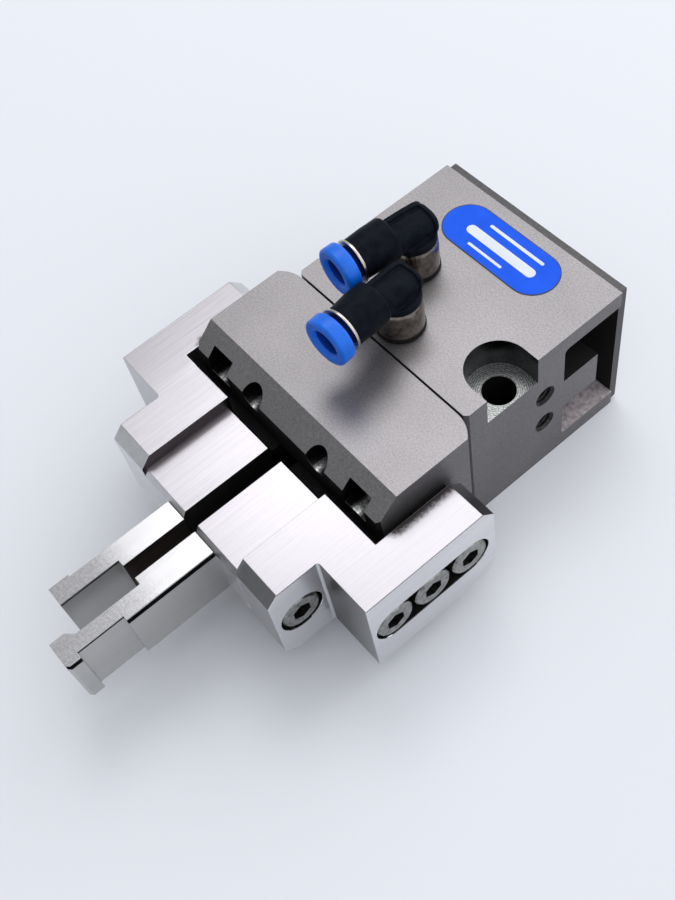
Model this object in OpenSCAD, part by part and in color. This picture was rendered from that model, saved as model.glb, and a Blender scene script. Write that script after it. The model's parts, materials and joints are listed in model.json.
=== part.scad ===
// Two-jaw pneumatic gripper: a wedge-hook drive turns the stroke of a piston into
// the sideways travel of two jaws. Y runs along the piston, X along the jaw travel.
// The origin is on the bottom face, midway between the two mounting holes.

/* [Housings] */
// Height of both housings
body_h = 30; // [29:0.5:34]
// Width of the rear housing
rear_w = 39.6; // [39.2:0.2:44]
// Length of the rear housing
rear_len = 32.5; // [31.7:0.1:38]
// Width of the front housing
front_w = 45.2; // [44:0.2:46.6]
// Length of the front housing, from the seam to its front face
front_len = 19.95; // [19.6:0.05:23]
// Width of the open groove round the seam
seam_groove = 0.35; // [0.2:0.05:1]
// Depth of the open groove round the seam
seam_depth = 1; // [0.6:0.1:1.6]
// Length of the bevel on the front edges
bevel_run = 3.95; // [2:0.05:4.4]
// Height of the bevel on the front edges
bevel_drop = 3.7; // [2:0.1:4.2]
// Radius of the rear shoulders of the front housing
shoulder_r = 6; // [5:0.1:9]
// How far the shoulders reach in from the sides
shoulder_reach = 4.4; // [2:0.1:4.8]
// Chamfer on the upright edges
edge_chamfer = 0.6; // [0.2:0.1:1]

/* [Mounting] */
// Distance between the two mounting holes
mount_spacing = 33.4; // [32:0.1:33.6]
// Distance from the seam to the mounting holes
mount_setback = 9.4; // [8.4:0.1:10.4]
// Diameter of the mounting holes
mount_d = 5.5; // [4.5:0.1:5.6]
// Diameter of the screw-head pockets
mount_pocket_d = 10.5; // [9:0.1:11]
// Depth of the screw-head pockets
mount_pocket_depth = 5.8; // [3:0.1:8]
// Diameter of the threaded holes in the right-hand side
side_hole_d = 4; // [2:0.5:4]
// Distance between the threaded side holes
side_hole_pitch = 7.4; // [6:0.1:9]
// Distance from the seam to the threaded side holes
side_hole_y = 16.3; // [16.2:0.1:17.4]
// Depth of the threaded side holes
side_hole_depth = 5; // [3:0.5:8]

/* [Rear window] */
// Length of the window through the rear end
window_len = 12.1; // [10:0.1:12.4]
// Height of the window
window_h = 23.5; // [18:0.5:24]
// Radius of the window's front corners
window_r = 1; // [0.3:0.1:2]
// Length of the tongue inside the window
tongue_len = 7.6; // [4:0.1:9]
// Height of the tongue inside the window
tongue_h = 7.2; // [4:0.1:10]
// Thickness of the rear cover
cover_t = 1.5; // [1.2:0.1:3]
// How far the cover stands back from the housing's outline
cover_inset = 0.45; // [0.3:0.05:0.9]
// Thread diameter of the cover screws
cover_screw_d = 1.6; // [1.2:0.1:1.8]
// Head diameter of the cover screws
cover_head_d = 2.2; // [2:0.1:2.3]
// Length of the cover screws
cover_screw_len = 5; // [3:0.5:7]
// Distance of a cover screw from the housing's top or bottom
cover_screw_edge = 1.9; // [1.8:0.05:2]
// Sideways distance between the cover screws
cover_screw_pitch = 30; // [20:1:34]

/* [Housing screws and pins] */
// Thread diameter of the housing screws
tie_d = 2; // [1.6:0.2:2.5]
// Head diameter of the housing screws
tie_head_d = 3.8; // [3.6:0.1:4]
// Head height of the housing screws
tie_head_h = 2; // [1.6:0.2:2.4]
// Diameter of the round pockets for the housing screws
tie_pocket_d = 4.4; // [4.2:0.1:4.6]
// Length of the housing screws
tie_len = 20; // [18:0.5:22]
// Thread depth of the housing screws in the rear housing
tie_grip = 6; // [4:0.5:8]
// Sideways distance between the housing screws
tie_pitch_x = 16; // [15:0.5:18]
// Upright distance between the housing screws
tie_pitch_z = 22.4; // [22:0.1:23]
// Side of the square pockets over the guide pins
pin_pocket = 4.85; // [4:0.05:5]
// Depth of the square pockets
pin_pocket_depth = 5; // [3:0.5:7]
// Diameter of the guide pins
pin_d = 3; // [2:0.5:3]
// Length of the guide pins
pin_len = 20; // [19:0.5:21]
// Sideways distance between the guide pins
pin_pitch_x = 33.85; // [32:0.05:34.5]
// Upright distance between the guide pins
pin_pitch_z = 21.15; // [20.8:0.05:22]

/* [Piston drive] */
// Diameter of the cylinder bore
bore_d = 16; // [14:0.5:17]
// Wall between the bore and the window
bore_end_wall = 2.2; // [1.5:0.1:4]
// Thickness of the rubber stop at the end of the bore
bumper_t = 1; // [0.5:0.1:1.5]
// Inner diameter of the rubber stop
bumper_hole_d = 9; // [6:0.5:12]
// Length of the full-diameter part of the piston
piston_land = 6; // [5:0.1:7]
// Length of the boss behind the piston
piston_boss = 1.9; // [1:0.1:2.5]
// Diameter of the boss behind the piston
piston_boss_d = 10; // [8:0.5:11]
// Depth of the two ring grooves in the piston
ring_depth = 1.6; // [1:0.1:2]
// Width of the piston seal
seal_w = 2; // [1:0.1:2.4]
// Width of the magnet ring
magnet_w = 1.6; // [1:0.1:2]
// Diameter of the piston rod
rod_d = 6; // [5:0.5:7]
// Wall of the rod bush
bush_wall = 1.5; // [1:0.1:2]
// Width of the rod seal
rod_seal_w = 1.8; // [1.2:0.1:2.2]
// Lip of metal in front of the rod bush
bush_lip = 0.8; // [0.5:0.1:1.2]
// Width of the flat seal between the housings
gasket_w = 1.2; // [0.8:0.1:2]
// Thickness of the flat seal between the housings
gasket_t = 1; // [0.6:0.1:1.4]
// Piston travel for each millimetre of jaw travel
wedge_ratio = 1.6; // [1.4:0.05:2]
// Travel of each jaw outwards from the drawn pose
open_travel = 2.7; // [1:0.1:3]
// Travel of each jaw inwards from the drawn pose
close_travel = 0.8; // [0.3:0.1:0.9]
// Length of the wedge block
driver_len = 8.4; // [7:0.1:9]
// Height of the wedge block
driver_h = 9.4; // [8:0.1:9.6]
// Half width of the wedge block at its rear end
driver_half_w = 9.45; // [9:0.05:10.5]
// Thickness of the neck of a hook rail
rail_neck_t = 1.6; // [1.2:0.1:2]
// Height of the neck of a hook rail
rail_neck_h = 4; // [3:0.1:5]
// Thickness of the lip of a hook rail
rail_lip_t = 1.8; // [1.2:0.1:2.2]
// Height of the lip of a hook rail
rail_lip_h = 7.4; // [6:0.1:7.8]
// Thread diameter of the wedge block's screw
driver_screw_d = 3; // [2.5:0.5:3.5]
// Length of the wedge block's screw
driver_screw_len = 12; // [10:0.5:13]

/* [Jaw guide] */
// Depth of the narrow front part of the T-slot
slot_lip = 5.85; // [5:0.05:6.5]
// Height of the narrow front part of the T-slot
slot_neck_h = 10; // [10:0.1:12]
// Depth of the wide part of the T-slot
slot_head_len = 6.9; // [6:0.1:7.2]
// Height of the wide part of the T-slot
slot_head_h = 16; // [13:0.1:16.4]
// Distance of a base jaw's inner end from the centre
base_inner = 2.2; // [2:0.1:3]

/* [Jaw brackets] */
// Height of the jaw brackets
bracket_h = 19.2; // [18:0.1:21]
// Gap between the front housing and a bracket's arm
arm_gap = 1.75; // [1:0.05:2.5]
// Distance of an arm's inner face from the centre
arm_inner = 12.2; // [11:0.1:13]
// Width of an arm
arm_w = 8.1; // [7.6:0.1:9]
// Length of an arm
arm_len = 17.6; // [15:0.1:20]
// Depth of the crossbar that joins arm and wing
crossbar_len = 7.95; // [7.8:0.05:8.6]
// Gap between a wing and the side of the front housing
wing_gap = 1.2; // [1:0.1:2]
// Thickness of a wing
wing_w = 7.2; // [6:0.1:9]
// Length of a wing
wing_len = 24.35; // [24:0.05:26]
// Chamfer on the arm's front edges
arm_chamfer = 2; // [0.5:0.1:3]
// Chamfer on the wing's rear edges
wing_chamfer = 2.1; // [0.5:0.1:3]
// Fillet between arm and crossbar
bracket_fillet = 0.5; // [0.3:0.1:2]

/* [Jaw screws] */
// Thread diameter of the jaw screws
screw_d = 4; // [3:0.5:4.5]
// Head diameter of the jaw screws
screw_head_d = 7; // [6:0.1:7.2]
// Head height of the jaw screws
screw_head_h = 4; // [3:0.1:4.4]
// Width across the flats of the hex sockets
socket_flats = 3; // [2:0.5:3.5]
// Depth of the hex sockets
socket_depth = 2.2; // [1:0.1:3]
// How far the screw heads lie below the face
head_recess = 0.35; // [0.1:0.05:1]
// Width of the long recess in a wing
recess_w = 7.4; // [7.3:0.1:7.8]
// Distance between the screws in a wing
wing_screw_pitch = 7.42; // [7.3:0.01:7.6]
// Distance from the crossbar's front face to the first wing screw
wing_screw_y = 4.5; // [4:0.1:5]
// Length of the two rear screws in a wing
wing_screw_len = 10; // [8:0.5:12]
// Length of the long front screw in a wing
long_screw_len = 20; // [18:0.5:22]
// Length of the screw in an arm
arm_screw_len = 8; // [7:0.5:8.5]
// Distance from the arm's front face to its screw
arm_screw_y = 4.85; // [4.5:0.1:6]
// Diameter of the pocket for the screw in an arm
arm_pocket_d = 7.8; // [7.4:0.1:8.4]

/* [Finger blocks] */
// Distance of a block's inner face from the centre
block_inner = 1.67; // [1.2:0.01:2.2]
// Height of the finger blocks
block_h = 14.2; // [13.6:0.1:18]
// Gap between the front housing and a finger block
block_gap = 2.4; // [1:0.1:3]
// Length of the chamfer on a block's front edges
block_chamfer_run = 0.75; // [0.3:0.05:1.5]
// Height of the chamfer on a block's front edges
block_chamfer_drop = 1.4; // [0.5:0.1:1.8]
// Height of a finger's tongue inside its block
tenon_h = 9; // [8:0.1:9.6]
// Length of a finger's tongue inside its block
tenon_len = 8.7; // [8:0.1:9]
// How much thinner the tongue is than the finger, on its inner side
tenon_inner_step = 1.1; // [0.5:0.1:1.4]
// How much thinner the tongue is than the finger, on its outer side
tenon_outer_step = 0.2; // [0.1:0.1:0.6]
// Diameter of the cross pins through the tongues
cross_pin_d = 2; // [1.2:0.1:2.2]
// Length of the cross pins
cross_pin_len = 12.4; // [12:0.1:12.8]
// Distance between the cross pins
cross_pin_pitch = 4; // [3:0.1:4.6]

/* [Fingers] */
// Height of the fingers
finger_h = 12; // [11:0.1:14]
// Thickness of the plate along a finger's top
cap_t = 0.3; // [0.2:0.1:1]
// Height of the groove under the top plate
groove_h = 0.3; // [0.2:0.1:0.8]
// Height of the groove on the outer side, at a finger's root and nose
deep_groove_h = 1.1; // [0.8:0.1:1.6]
// Depth of the groove under the top plate
groove_depth = 0.8; // [0.3:0.1:0.9]
// Distance of the right finger's inner face from the centre
right_inner = 1.5; // [1:0.1:2]
// Thickness of the right finger at its root
right_t = 4.8; // [4.4:0.1:5.4]
// Length of the right finger
right_len = 26.9; // [22:0.1:34]
// Length of the right finger's inner pad
right_pad_len = 11.3; // [8:0.1:14]
// Depth of the step behind the inner pad
right_relief = 1.35; // [0.6:0.05:1.6]
// Distance from the block to the step on the outer side
right_waist_y = 16.1; // [12:0.1:17]
// Depth of the step on the outer side
right_waist = 0.9; // [0.3:0.1:1.2]
// Length of the right finger's nose
right_nose_len = 3.9; // [3:0.1:5]
// How far the nose stands out inwards
right_nose_in = 1.25; // [0.5:0.05:1.35]
// Length of the hook on the nose
right_hook_len = 2.5; // [1.5:0.1:2.8]
// How far the hook stands out
right_hook_out = 1.1; // [0.5:0.1:1.5]
// Distance of the left finger's inner face from the centre
left_inner = 1.4; // [1:0.1:2]
// Thickness of the left finger at its root
left_t = 4.3; // [4:0.1:5]
// Length of the left finger
left_len = 22.2; // [18:0.1:30]
// Length of the left finger's inner pad
left_pad_len = 11.5; // [8:0.1:14]
// Depth of the step in front of the left finger's pad
left_relief = 1.3; // [0.6:0.05:1.6]
// Length of the left finger's nose
left_nose_len = 3.6; // [2:0.1:5]
// How far the left finger's nose stands out
left_nose_out = 0.4; // [0.2:0.1:1]

/* [Push-in fittings] */
// Distance from the seam to the front fitting
front_port_y = 4.7; // [4.6:0.1:5.4]
// Sideways place of the rear fitting
rear_port_x = -7.1; // [-7.3:0.1:-7.1]
// Distance from the seam to the rear fitting
rear_port_y = 14.2; // [13.8:0.1:15]
// Angle of the front fitting to the piston axis
front_turn = 5; // [0:1:10]
// Angle of the rear fitting to the piston axis
rear_turn = -3; // [-10:1:-3]
// Thread diameter of the fittings
port_thread_d = 5; // [4:0.5:5]
// Thread length of the fittings
port_thread_len = 4.6; // [3.5:0.1:5]
// Diameter of the air passages
air_d = 1.6; // [1:0.1:2]
// Diameter of a stem
stem_d = 7.8; // [7:0.1:7.8]
// Height of a stem
stem_h = 5.5; // [4:0.1:7]
// Diameter of the sealing ring under a stem
ring_d = 8; // [7:0.1:8.2]
// Height of the sealing ring under a stem
ring_h = 0.9; // [0.5:0.1:1.2]
// Diameter of the journal that an elbow turns on
journal_d = 4.4; // [4:0.1:4.6]
// Height of the journal that an elbow turns on
journal_h = 2.2; // [1.5:0.1:2.3]
// Height of the tube axis above the stem
port_rise = 3.6; // [3.6:0.1:5]
// Diameter of an elbow's barrel
barrel_d = 7.4; // [7.2:0.1:7.5]
// Diameter of an elbow's mouth
mouth_d = 6.9; // [6.8:0.1:7.2]
// Length of the taper at an elbow's mouth
mouth_taper = 2; // [1:0.1:3]
// Distance from the stem axis to the barrel's mouth
barrel_end = 11; // [10.5:0.1:12]
// Distance from the stem axis to the step between head and barrel
head_front = 5; // [4.7:0.1:5.4]
// Distance from the stem axis to the rear of an elbow's head
head_back = 3.6; // [3.2:0.1:3.8]
// Width of an elbow's head
head_w = 5; // [4.9:0.1:6.4]
// Height of a head above the tube axis, at its front
head_rise = 1.5; // [1.4:0.1:3]
// How much lower the head is at its rear
head_slope = 0.5; // [0.2:0.1:0.6]
// Diameter of the tube
tube_d = 4; // [3.6:0.1:4]
// Diameter of the room for the tube's seal and claw
cartridge_d = 6; // [5.8:0.1:6.2]
// Depth of the room for the tube's seal and claw
cartridge_len = 4.1; // [4:0.1:4.6]
// Length of the bore that centres the tube's end
tube_seat_len = 1.9; // [1.5:0.1:2]
// Width of the tube's seal
tube_seal_w = 1.4; // [1:0.1:1.6]
// Thickness of the claw that holds the tube
claw_t = 0.6; // [0.4:0.1:0.7]
// Thickness of the clamp ring's rim
clamp_t = 0.5; // [0.3:0.1:0.7]
// Diameter of the clamp ring's rim
clamp_d = 7.5; // [7.2:0.1:8]
// Depth of the clamp ring inside the barrel
clamp_depth = 1.3; // [1:0.1:1.4]
// Travel of a release collar
collar_travel = 0.7; // [0.3:0.1:0.8]
// Diameter of a release collar
collar_d = 8.2; // [8:0.1:8.5]
// Thickness of a release collar
collar_t = 2.5; // [1.5:0.1:3]
// Wall of a release collar's sleeve
collar_wall = 0.6; // [0.4:0.05:0.6]

/* [Label] */
// Length of the label
label_len = 23.5; // [18:0.5:26]
// Width of the label
label_w = 8.9; // [7:0.1:9.5]
// Thickness of the label
label_t = 0.12; // [0.08:0.02:0.2]
// Distance from the rear edge to the label's centre
label_y = 6.7; // [6:0.1:7.2]

/* [Fits] */
// Gap at each face of a sliding fit
slide_gap = 0.05; // [0.03:0.01:0.1]
// Radial gap of a running fit
run_gap = 0.04; // [0.02:0.01:0.08]
// Radial gap between a screw and its through hole
screw_gap = 0.15; // [0.1:0.05:0.25]
// Gap between a moving piece and its end stop
stop_gap = 0.2; // [0.1:0.05:0.4]

/* [Hidden] */
$fn = 64;
// Cuts run past a face by this much
past = 1;
mid = body_h / 2;
seam_y = -mount_setback;
rear_y = seam_y + rear_len;
front_y = seam_y - front_len;

// Piston drive, from the rear stop forwards
driver_close = close_travel * wedge_ratio;
driver_open = open_travel * wedge_ratio;
bore_end_y = rear_y - window_len - bore_end_wall;
boss_y = bore_end_y - bumper_t - stop_gap - driver_close;
land_y = boss_y - piston_boss;
piston_front_y = land_y - piston_land;
piston_d = bore_d - 2 * 0.1;
ring_core_d = bore_d - 2 * (ring_depth + 0.1);
ring_gap = (piston_land - seal_w - magnet_w) / 3;

// T-slot and wedge block, from the front face backwards
slot_step_y = front_y + slot_lip;
slot_back_y = slot_step_y + slot_head_len;
driver_back_y = slot_back_y + 2 * stop_gap;
driver_front_y = driver_back_y - driver_len;
driver_front_half = driver_half_w - driver_len / wedge_ratio;
pocket_back_y = driver_back_y + driver_close + 2 * stop_gap;
wedge_angle = atan(1 / wedge_ratio);
rail_reach = (rail_neck_t + rail_lip_t) / cos(wedge_angle);
bush_d = rod_d + 2 * bush_wall;
bush_front_y = pocket_back_y + bush_lip;
rod_seal_y = seam_y - stop_gap - rod_seal_w;
gasket_hole_d = bore_d + 2 * past;
gasket_d = gasket_hole_d + 2 * gasket_w;
driver_head_d = 5.5;
driver_head_h = 3;
driver_seat_y = driver_front_y + driver_head_h + stop_gap;
driver_screw_end_y = driver_seat_y + driver_screw_len;

// Housing screws and guide pins
tie_seat_y = seam_y - tie_len + tie_grip;
pin_start_y = front_y + pin_pocket_depth / 2;
pin_end_y = pin_start_y + pin_len;

// Jaws
arm_back_y = front_y - arm_gap;
arm_front_y = arm_back_y - arm_len;
crossbar_y = arm_back_y - crossbar_len;
wing_back_y = crossbar_y + wing_len;
wing_inner = front_w / 2 + wing_gap;
wing_outer = wing_inner + wing_w;
arm_outer = arm_inner + arm_w;
block_back_y = front_y - block_gap;
first_screw_y = crossbar_y + wing_screw_y;
pocket_depth = screw_head_h + head_recess;
base_thread = wing_screw_len - (wing_w - pocket_depth) + stop_gap;
finger_z = mid - finger_h / 2;
tenon_back_y = arm_front_y + tenon_len;

// Fittings, measured from the top face and the stem axis
stem_z = ring_h;
elbow_z = stem_z + stem_h;
port_z = elbow_z + port_rise;
tube_bore_d = tube_d + 0.1;
claw_l = barrel_end - clamp_depth - claw_t;
seal_l = barrel_end - cartridge_len;
collar_l = barrel_end + clamp_t + collar_travel + stop_gap / 2;
sleeve_d = tube_bore_d + 2 * collar_wall;
clamp_bore_d = sleeve_d + 4 * run_gap;

// ---------- helpers ----------

// Places a shape so that its Z axis runs along +Y
module along_y(x, y, z) {
    translate([x, y, z]) rotate([-90, 0, 0]) children();
}

// Places a shape so that its Z axis runs along +X
module along_x(x, y, z) {
    translate([x, y, z]) rotate([0, 90, 0]) children();
}

// A block given by its lowest and highest corners
module block(low, high) {
    translate(low) cube(high - low);
}

// Mirrors the right-hand jaw's pieces to the left for side -1
module on_side(side) {
    mirror([side < 0 ? 1 : 0, 0, 0]) children();
}

// A straight drilled hole between two points
module drill(start, end, d) {
    v = end - start;
    translate(start) rotate([0, acos(v[2] / norm(v)), atan2(v[1], v[0])]) cylinder(d = d, h = norm(v));
}

// A flat ring with a round hole
module ring(outer_d, inner_d, h) {
    difference() {
        cylinder(d = outer_d, h = h);
        translate([0, 0, -past]) cylinder(d = inner_d, h = h + 2 * past);
    }
}

// A cap screw that seats at zero, with its head upwards and its thread downwards
module cap_screw(d, length, head_d, head_h, flats, depth) {
    difference() {
        union() {
            cylinder(d = head_d, h = head_h);
            translate([0, 0, -length]) cylinder(d = d, h = length);
        }
        translate([0, 0, head_h - depth]) cylinder(d = flats / cos(30), h = depth + past, $fn = 6);
    }
}

// Repeats a shape at the four corners of a pattern around the piston axis
module four_corners(pitch_x, pitch_z) {
    for (sx = [-1, 1], sz = [-1, 1]) {
        translate([sx * pitch_x / 2, 0, mid + sz * pitch_z / 2]) children();
    }
}

// A 45-degree cut along X on the edge at (y, z)
module edge_cut(y, z, c) {
    translate([0, y, z]) rotate([45, 0, 0]) cube([4 * wing_outer, c * sqrt(2), c * sqrt(2)], center = true);
}

// ---------- housings ----------

module rear_plan() {
    half = rear_w / 2;
    polygon([[-half + edge_chamfer, seam_y], [half - edge_chamfer, seam_y],
             [half, seam_y + edge_chamfer], [half, rear_y],
             [-half, rear_y], [-half, seam_y + edge_chamfer]]);
}

// The window through the rear end, with a tongue left standing in it
module rear_window() {
    z = mid - window_h / 2;
    y = rear_y - window_len;
    difference() {
        union() {
            block([-rear_w, y + window_r, z], [rear_w, rear_y + past, z + window_h]);
            block([-rear_w, y, z + window_r], [rear_w, y + 2 * window_r, z + window_h - window_r]);
            for (end_z = [z + window_r, z + window_h - window_r]) {
                along_x(-rear_w, y + window_r, end_z) cylinder(r = window_r, h = 2 * rear_w);
            }
        }
        block([-2 * rear_w, y - past, mid - tongue_h / 2], [2 * rear_w, y + tongue_len, mid + tongue_h / 2]);
    }
}

module mounting_cuts() {
    pocket_z = body_h - mount_pocket_depth;
    for (side = [-1, 1]) {
        on_side(side) translate([mount_spacing / 2, 0, 0]) {
            translate([0, 0, -past]) cylinder(d = mount_d, h = body_h + 2 * past);
            translate([0, 0, pocket_z]) cylinder(d = mount_pocket_d, h = mount_pocket_depth + past);
            translate([0, -mount_pocket_d / 2, pocket_z])
                cube([rear_w, mount_pocket_d, mount_pocket_depth + past]);
        }
    }
}

// The threaded port and the slanted passage from it to the bore
module port_cuts(x, y, bore_x, bore_y) {
    bottom = body_h - port_thread_len - stop_gap;
    translate([x, y, bottom]) cylinder(d = port_thread_d, h = body_h - bottom + past);
    drill([x, y, bottom + air_d / 2], [bore_x, bore_y, mid + bore_d / 4], air_d);
}

module rear_housing() {
    color([0.45, 0.43, 0.44]) difference() {
        linear_extrude(body_h) rear_plan();
        along_y(0, seam_y - past, mid) cylinder(d = bore_d, h = bore_end_y - seam_y + past);
        rear_window();
        mounting_cuts();
        port_cuts(0, seam_y + front_port_y, 0, seam_y + air_d);
        port_cuts(rear_port_x, seam_y + rear_port_y, rear_port_x + bore_d / 8, bore_end_y - bumper_t - air_d);
        for (sz = [-1, 1]) {
            along_x(rear_w / 2 - side_hole_depth, seam_y + side_hole_y, mid + sz * side_hole_pitch / 2)
                cylinder(d = side_hole_d, h = side_hole_depth + past);
        }
        four_corners(tie_pitch_x, tie_pitch_z)
            along_y(0, seam_y - past, 0) cylinder(d = tie_d, h = tie_grip + past + stop_gap);
        four_corners(pin_pitch_x, pin_pitch_z)
            along_y(0, seam_y - past, 0) cylinder(d = pin_d, h = pin_end_y - seam_y + past);
        four_corners(cover_screw_pitch, body_h - 2 * cover_screw_edge)
            along_y(0, rear_y - cover_screw_len, 0) cylinder(d = cover_screw_d, h = cover_screw_len + past);
    }
}

module front_plan() {
    half = front_w / 2;
    back = seam_y - seam_groove;
    inner = half - shoulder_reach;
    corner_y = back - shoulder_r + sqrt(pow(shoulder_r, 2) - pow(shoulder_reach, 2));
    polygon([[-half + edge_chamfer, front_y], [half - edge_chamfer, front_y],
             [half, front_y + edge_chamfer], [half, corner_y], [inner, corner_y],
             [inner, back], [-inner, back], [-inner, corner_y],
             [-half, corner_y], [-half, front_y + edge_chamfer]]);
    for (side = [0, 1]) {
        mirror([side, 0, 0]) intersection() {
            translate([inner, back - shoulder_r]) circle(shoulder_r);
            translate([inner - past, corner_y - past]) square([shoulder_reach + past, shoulder_r]);
        }
    }
}

// Side view of the front housing, with the bevels on its front edges
module front_profile() {
    back = seam_y - seam_groove;
    polygon([[front_y, bevel_drop], [front_y + bevel_run, 0], [back, 0],
             [back, body_h], [front_y + bevel_run, body_h], [front_y, body_h - bevel_drop]]);
}

// The T-slot for the base jaws and the pocket for the wedge block behind it
module guide_cuts() {
    pocket_half = driver_half_w + rail_reach + 2 * stop_gap;
    block([-front_w, front_y - past, mid - slot_neck_h / 2],
          [front_w, slot_step_y + past, mid + slot_neck_h / 2]);
    block([-front_w, slot_step_y, mid - slot_head_h / 2], [front_w, slot_back_y, mid + slot_head_h / 2]);
    block([-pocket_half, slot_back_y - past, mid - slot_neck_h / 2],
          [pocket_half, pocket_back_y, mid + slot_neck_h / 2]);
}

module front_housing() {
    color([0.5, 0.48, 0.49]) difference() {
        union() {
            intersection() {
                linear_extrude(body_h) front_plan();
                rotate([90, 0, 90]) translate([0, 0, -front_w]) linear_extrude(2 * front_w) front_profile();
            }
            block([-rear_w / 2 + seam_depth, seam_y - seam_groove - past, seam_depth],
                  [rear_w / 2 - seam_depth, seam_y, body_h - seam_depth]);
        }
        guide_cuts();
        along_y(0, pocket_back_y - past, mid) cylinder(d = rod_d + 4 * run_gap, h = front_len);
        along_y(0, bush_front_y, mid) cylinder(d = bush_d, h = front_len);
        along_y(0, seam_y - gasket_t, mid) ring(gasket_d, gasket_hole_d, 2 * gasket_t);
        four_corners(tie_pitch_x, tie_pitch_z) {
            along_y(0, front_y - past, 0) cylinder(d = tie_pocket_d, h = tie_seat_y - front_y + past);
            along_y(0, front_y, 0) cylinder(d = tie_d + 2 * screw_gap, h = front_len + past);
        }
        four_corners(pin_pitch_x, pin_pitch_z) {
            translate([-pin_pocket / 2, front_y - past, -pin_pocket / 2])
                cube([pin_pocket, pin_pocket_depth + past, pin_pocket]);
            along_y(0, front_y, 0) cylinder(d = pin_d, h = front_len + past);
        }
    }
}

module rear_cover() {
    half = rear_w / 2 - cover_inset;
    color([0.3, 0.29, 0.3]) difference() {
        block([-half, rear_y, cover_inset], [half, rear_y + cover_t, body_h - cover_inset]);
        four_corners(cover_screw_pitch, body_h - 2 * cover_screw_edge) {
            along_y(0, rear_y - past, 0) cylinder(d = cover_screw_d, h = cover_t + 2 * past);
            along_y(0, rear_y + cover_t / 2, 0) cylinder(d = cover_head_d, h = cover_t);
        }
    }
}

module cover_screws() {
    color([0.75, 0.74, 0.72]) four_corners(cover_screw_pitch, body_h - 2 * cover_screw_edge)
        along_y(0, rear_y + cover_t / 2, 0)
            cap_screw(cover_screw_d, cover_screw_len, cover_head_d, cover_t / 2,
                      cover_screw_d / 2, cover_t / 3);
}

module housing_screws() {
    color([0.75, 0.74, 0.72]) four_corners(tie_pitch_x, tie_pitch_z)
        translate([0, tie_seat_y, 0]) rotate([90, 0, 0])
            cap_screw(tie_d, tie_len, tie_head_d, tie_head_h, tie_head_d * 0.4, tie_head_h / 2);
}

module guide_pins() {
    color([0.8, 0.79, 0.77]) four_corners(pin_pitch_x, pin_pitch_z)
        along_y(0, pin_start_y, 0) cylinder(d = pin_d, h = pin_len);
}

module housing_gasket() {
    color([0.08, 0.08, 0.08]) along_y(0, seam_y - gasket_t, mid)
        ring(gasket_d, gasket_hole_d, gasket_t);
}

// ---------- piston drive ----------

module rod_bush() {
    color([0.72, 0.55, 0.3]) along_y(0, bush_front_y, mid)
        ring(bush_d, rod_d + 2 * run_gap, rod_seal_y - bush_front_y);
}

module rod_seal() {
    color([0.08, 0.08, 0.08]) along_y(0, rod_seal_y, mid) ring(bush_d, rod_d + 2 * run_gap, rod_seal_w);
}

module piston_bumper() {
    color([0.1, 0.1, 0.1]) along_y(0, bore_end_y - bumper_t, mid) ring(bore_d, bumper_hole_d, bumper_t);
}

// Piston and rod in one piece, with two ring grooves
module piston() {
    color([0.8, 0.8, 0.82]) difference() {
        union() {
            along_y(0, driver_back_y, mid) cylinder(d = rod_d, h = boss_y - driver_back_y);
            along_y(0, piston_front_y, mid) cylinder(d = piston_d, h = piston_land);
            along_y(0, land_y - past, mid) cylinder(d = piston_boss_d, h = piston_boss + past);
        }
        along_y(0, piston_front_y + ring_gap, mid) ring(bore_d + past, ring_core_d, seal_w);
        along_y(0, land_y - ring_gap - magnet_w, mid) ring(bore_d + past, ring_core_d, magnet_w);
        along_y(0, driver_back_y - past, mid)
            cylinder(d = driver_screw_d, h = driver_screw_end_y - driver_back_y + past + stop_gap);
    }
}

module piston_seal() {
    color([0.08, 0.08, 0.08]) along_y(0, piston_front_y + ring_gap, mid)
        ring(bore_d - 2 * run_gap, ring_core_d, seal_w);
}

module piston_magnet() {
    color([0.2, 0.2, 0.22]) along_y(0, land_y - ring_gap - magnet_w, mid)
        ring(piston_d - 4 * run_gap, ring_core_d, magnet_w);
}

// A frame whose Y axis runs along the slant of the right-hand hook rail
module slanted() {
    translate([driver_half_w, driver_back_y, mid]) rotate([0, 0, -wedge_angle]) children();
}

// The hook rail, or its slot with the given gap round it
module hook_rail(gap) {
    reach = 2 * front_len;
    slanted() {
        block([-2 * past, -reach, -rail_neck_h / 2 - gap],
              [rail_neck_t + past / 2, reach, rail_neck_h / 2 + gap]);
        block([rail_neck_t - gap, -reach, -rail_lip_h / 2 - gap],
              [rail_neck_t + rail_lip_t + gap, reach, rail_lip_h / 2 + gap]);
    }
}

module wedge_block() {
    z = mid - driver_h / 2;
    color([0.6, 0.6, 0.62]) difference() {
        union() {
            translate([0, 0, z]) linear_extrude(driver_h)
                polygon([[-driver_half_w, driver_back_y], [driver_half_w, driver_back_y],
                         [driver_front_half, driver_front_y], [-driver_front_half, driver_front_y]]);
            for (side = [-1, 1]) {
                on_side(side) intersection() {
                    hook_rail(0);
                    block([past, driver_front_y, z], [front_w, driver_back_y, z + driver_h]);
                }
            }
        }
        along_y(0, driver_front_y - past, mid)
            cylinder(d = driver_screw_d + 2 * screw_gap, h = driver_len + 2 * past);
        along_y(0, driver_front_y - past, mid)
            cylinder(d = driver_head_d + 2 * screw_gap, h = driver_seat_y - driver_front_y + past);
    }
}

module wedge_screw() {
    color([0.3, 0.3, 0.32]) translate([0, driver_seat_y, mid]) rotate([90, 0, 0])
        cap_screw(driver_screw_d, driver_screw_len, driver_head_d, driver_head_h,
                  driver_screw_d * 0.8, driver_head_h / 2);
}

// ---------- jaws ----------

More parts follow.
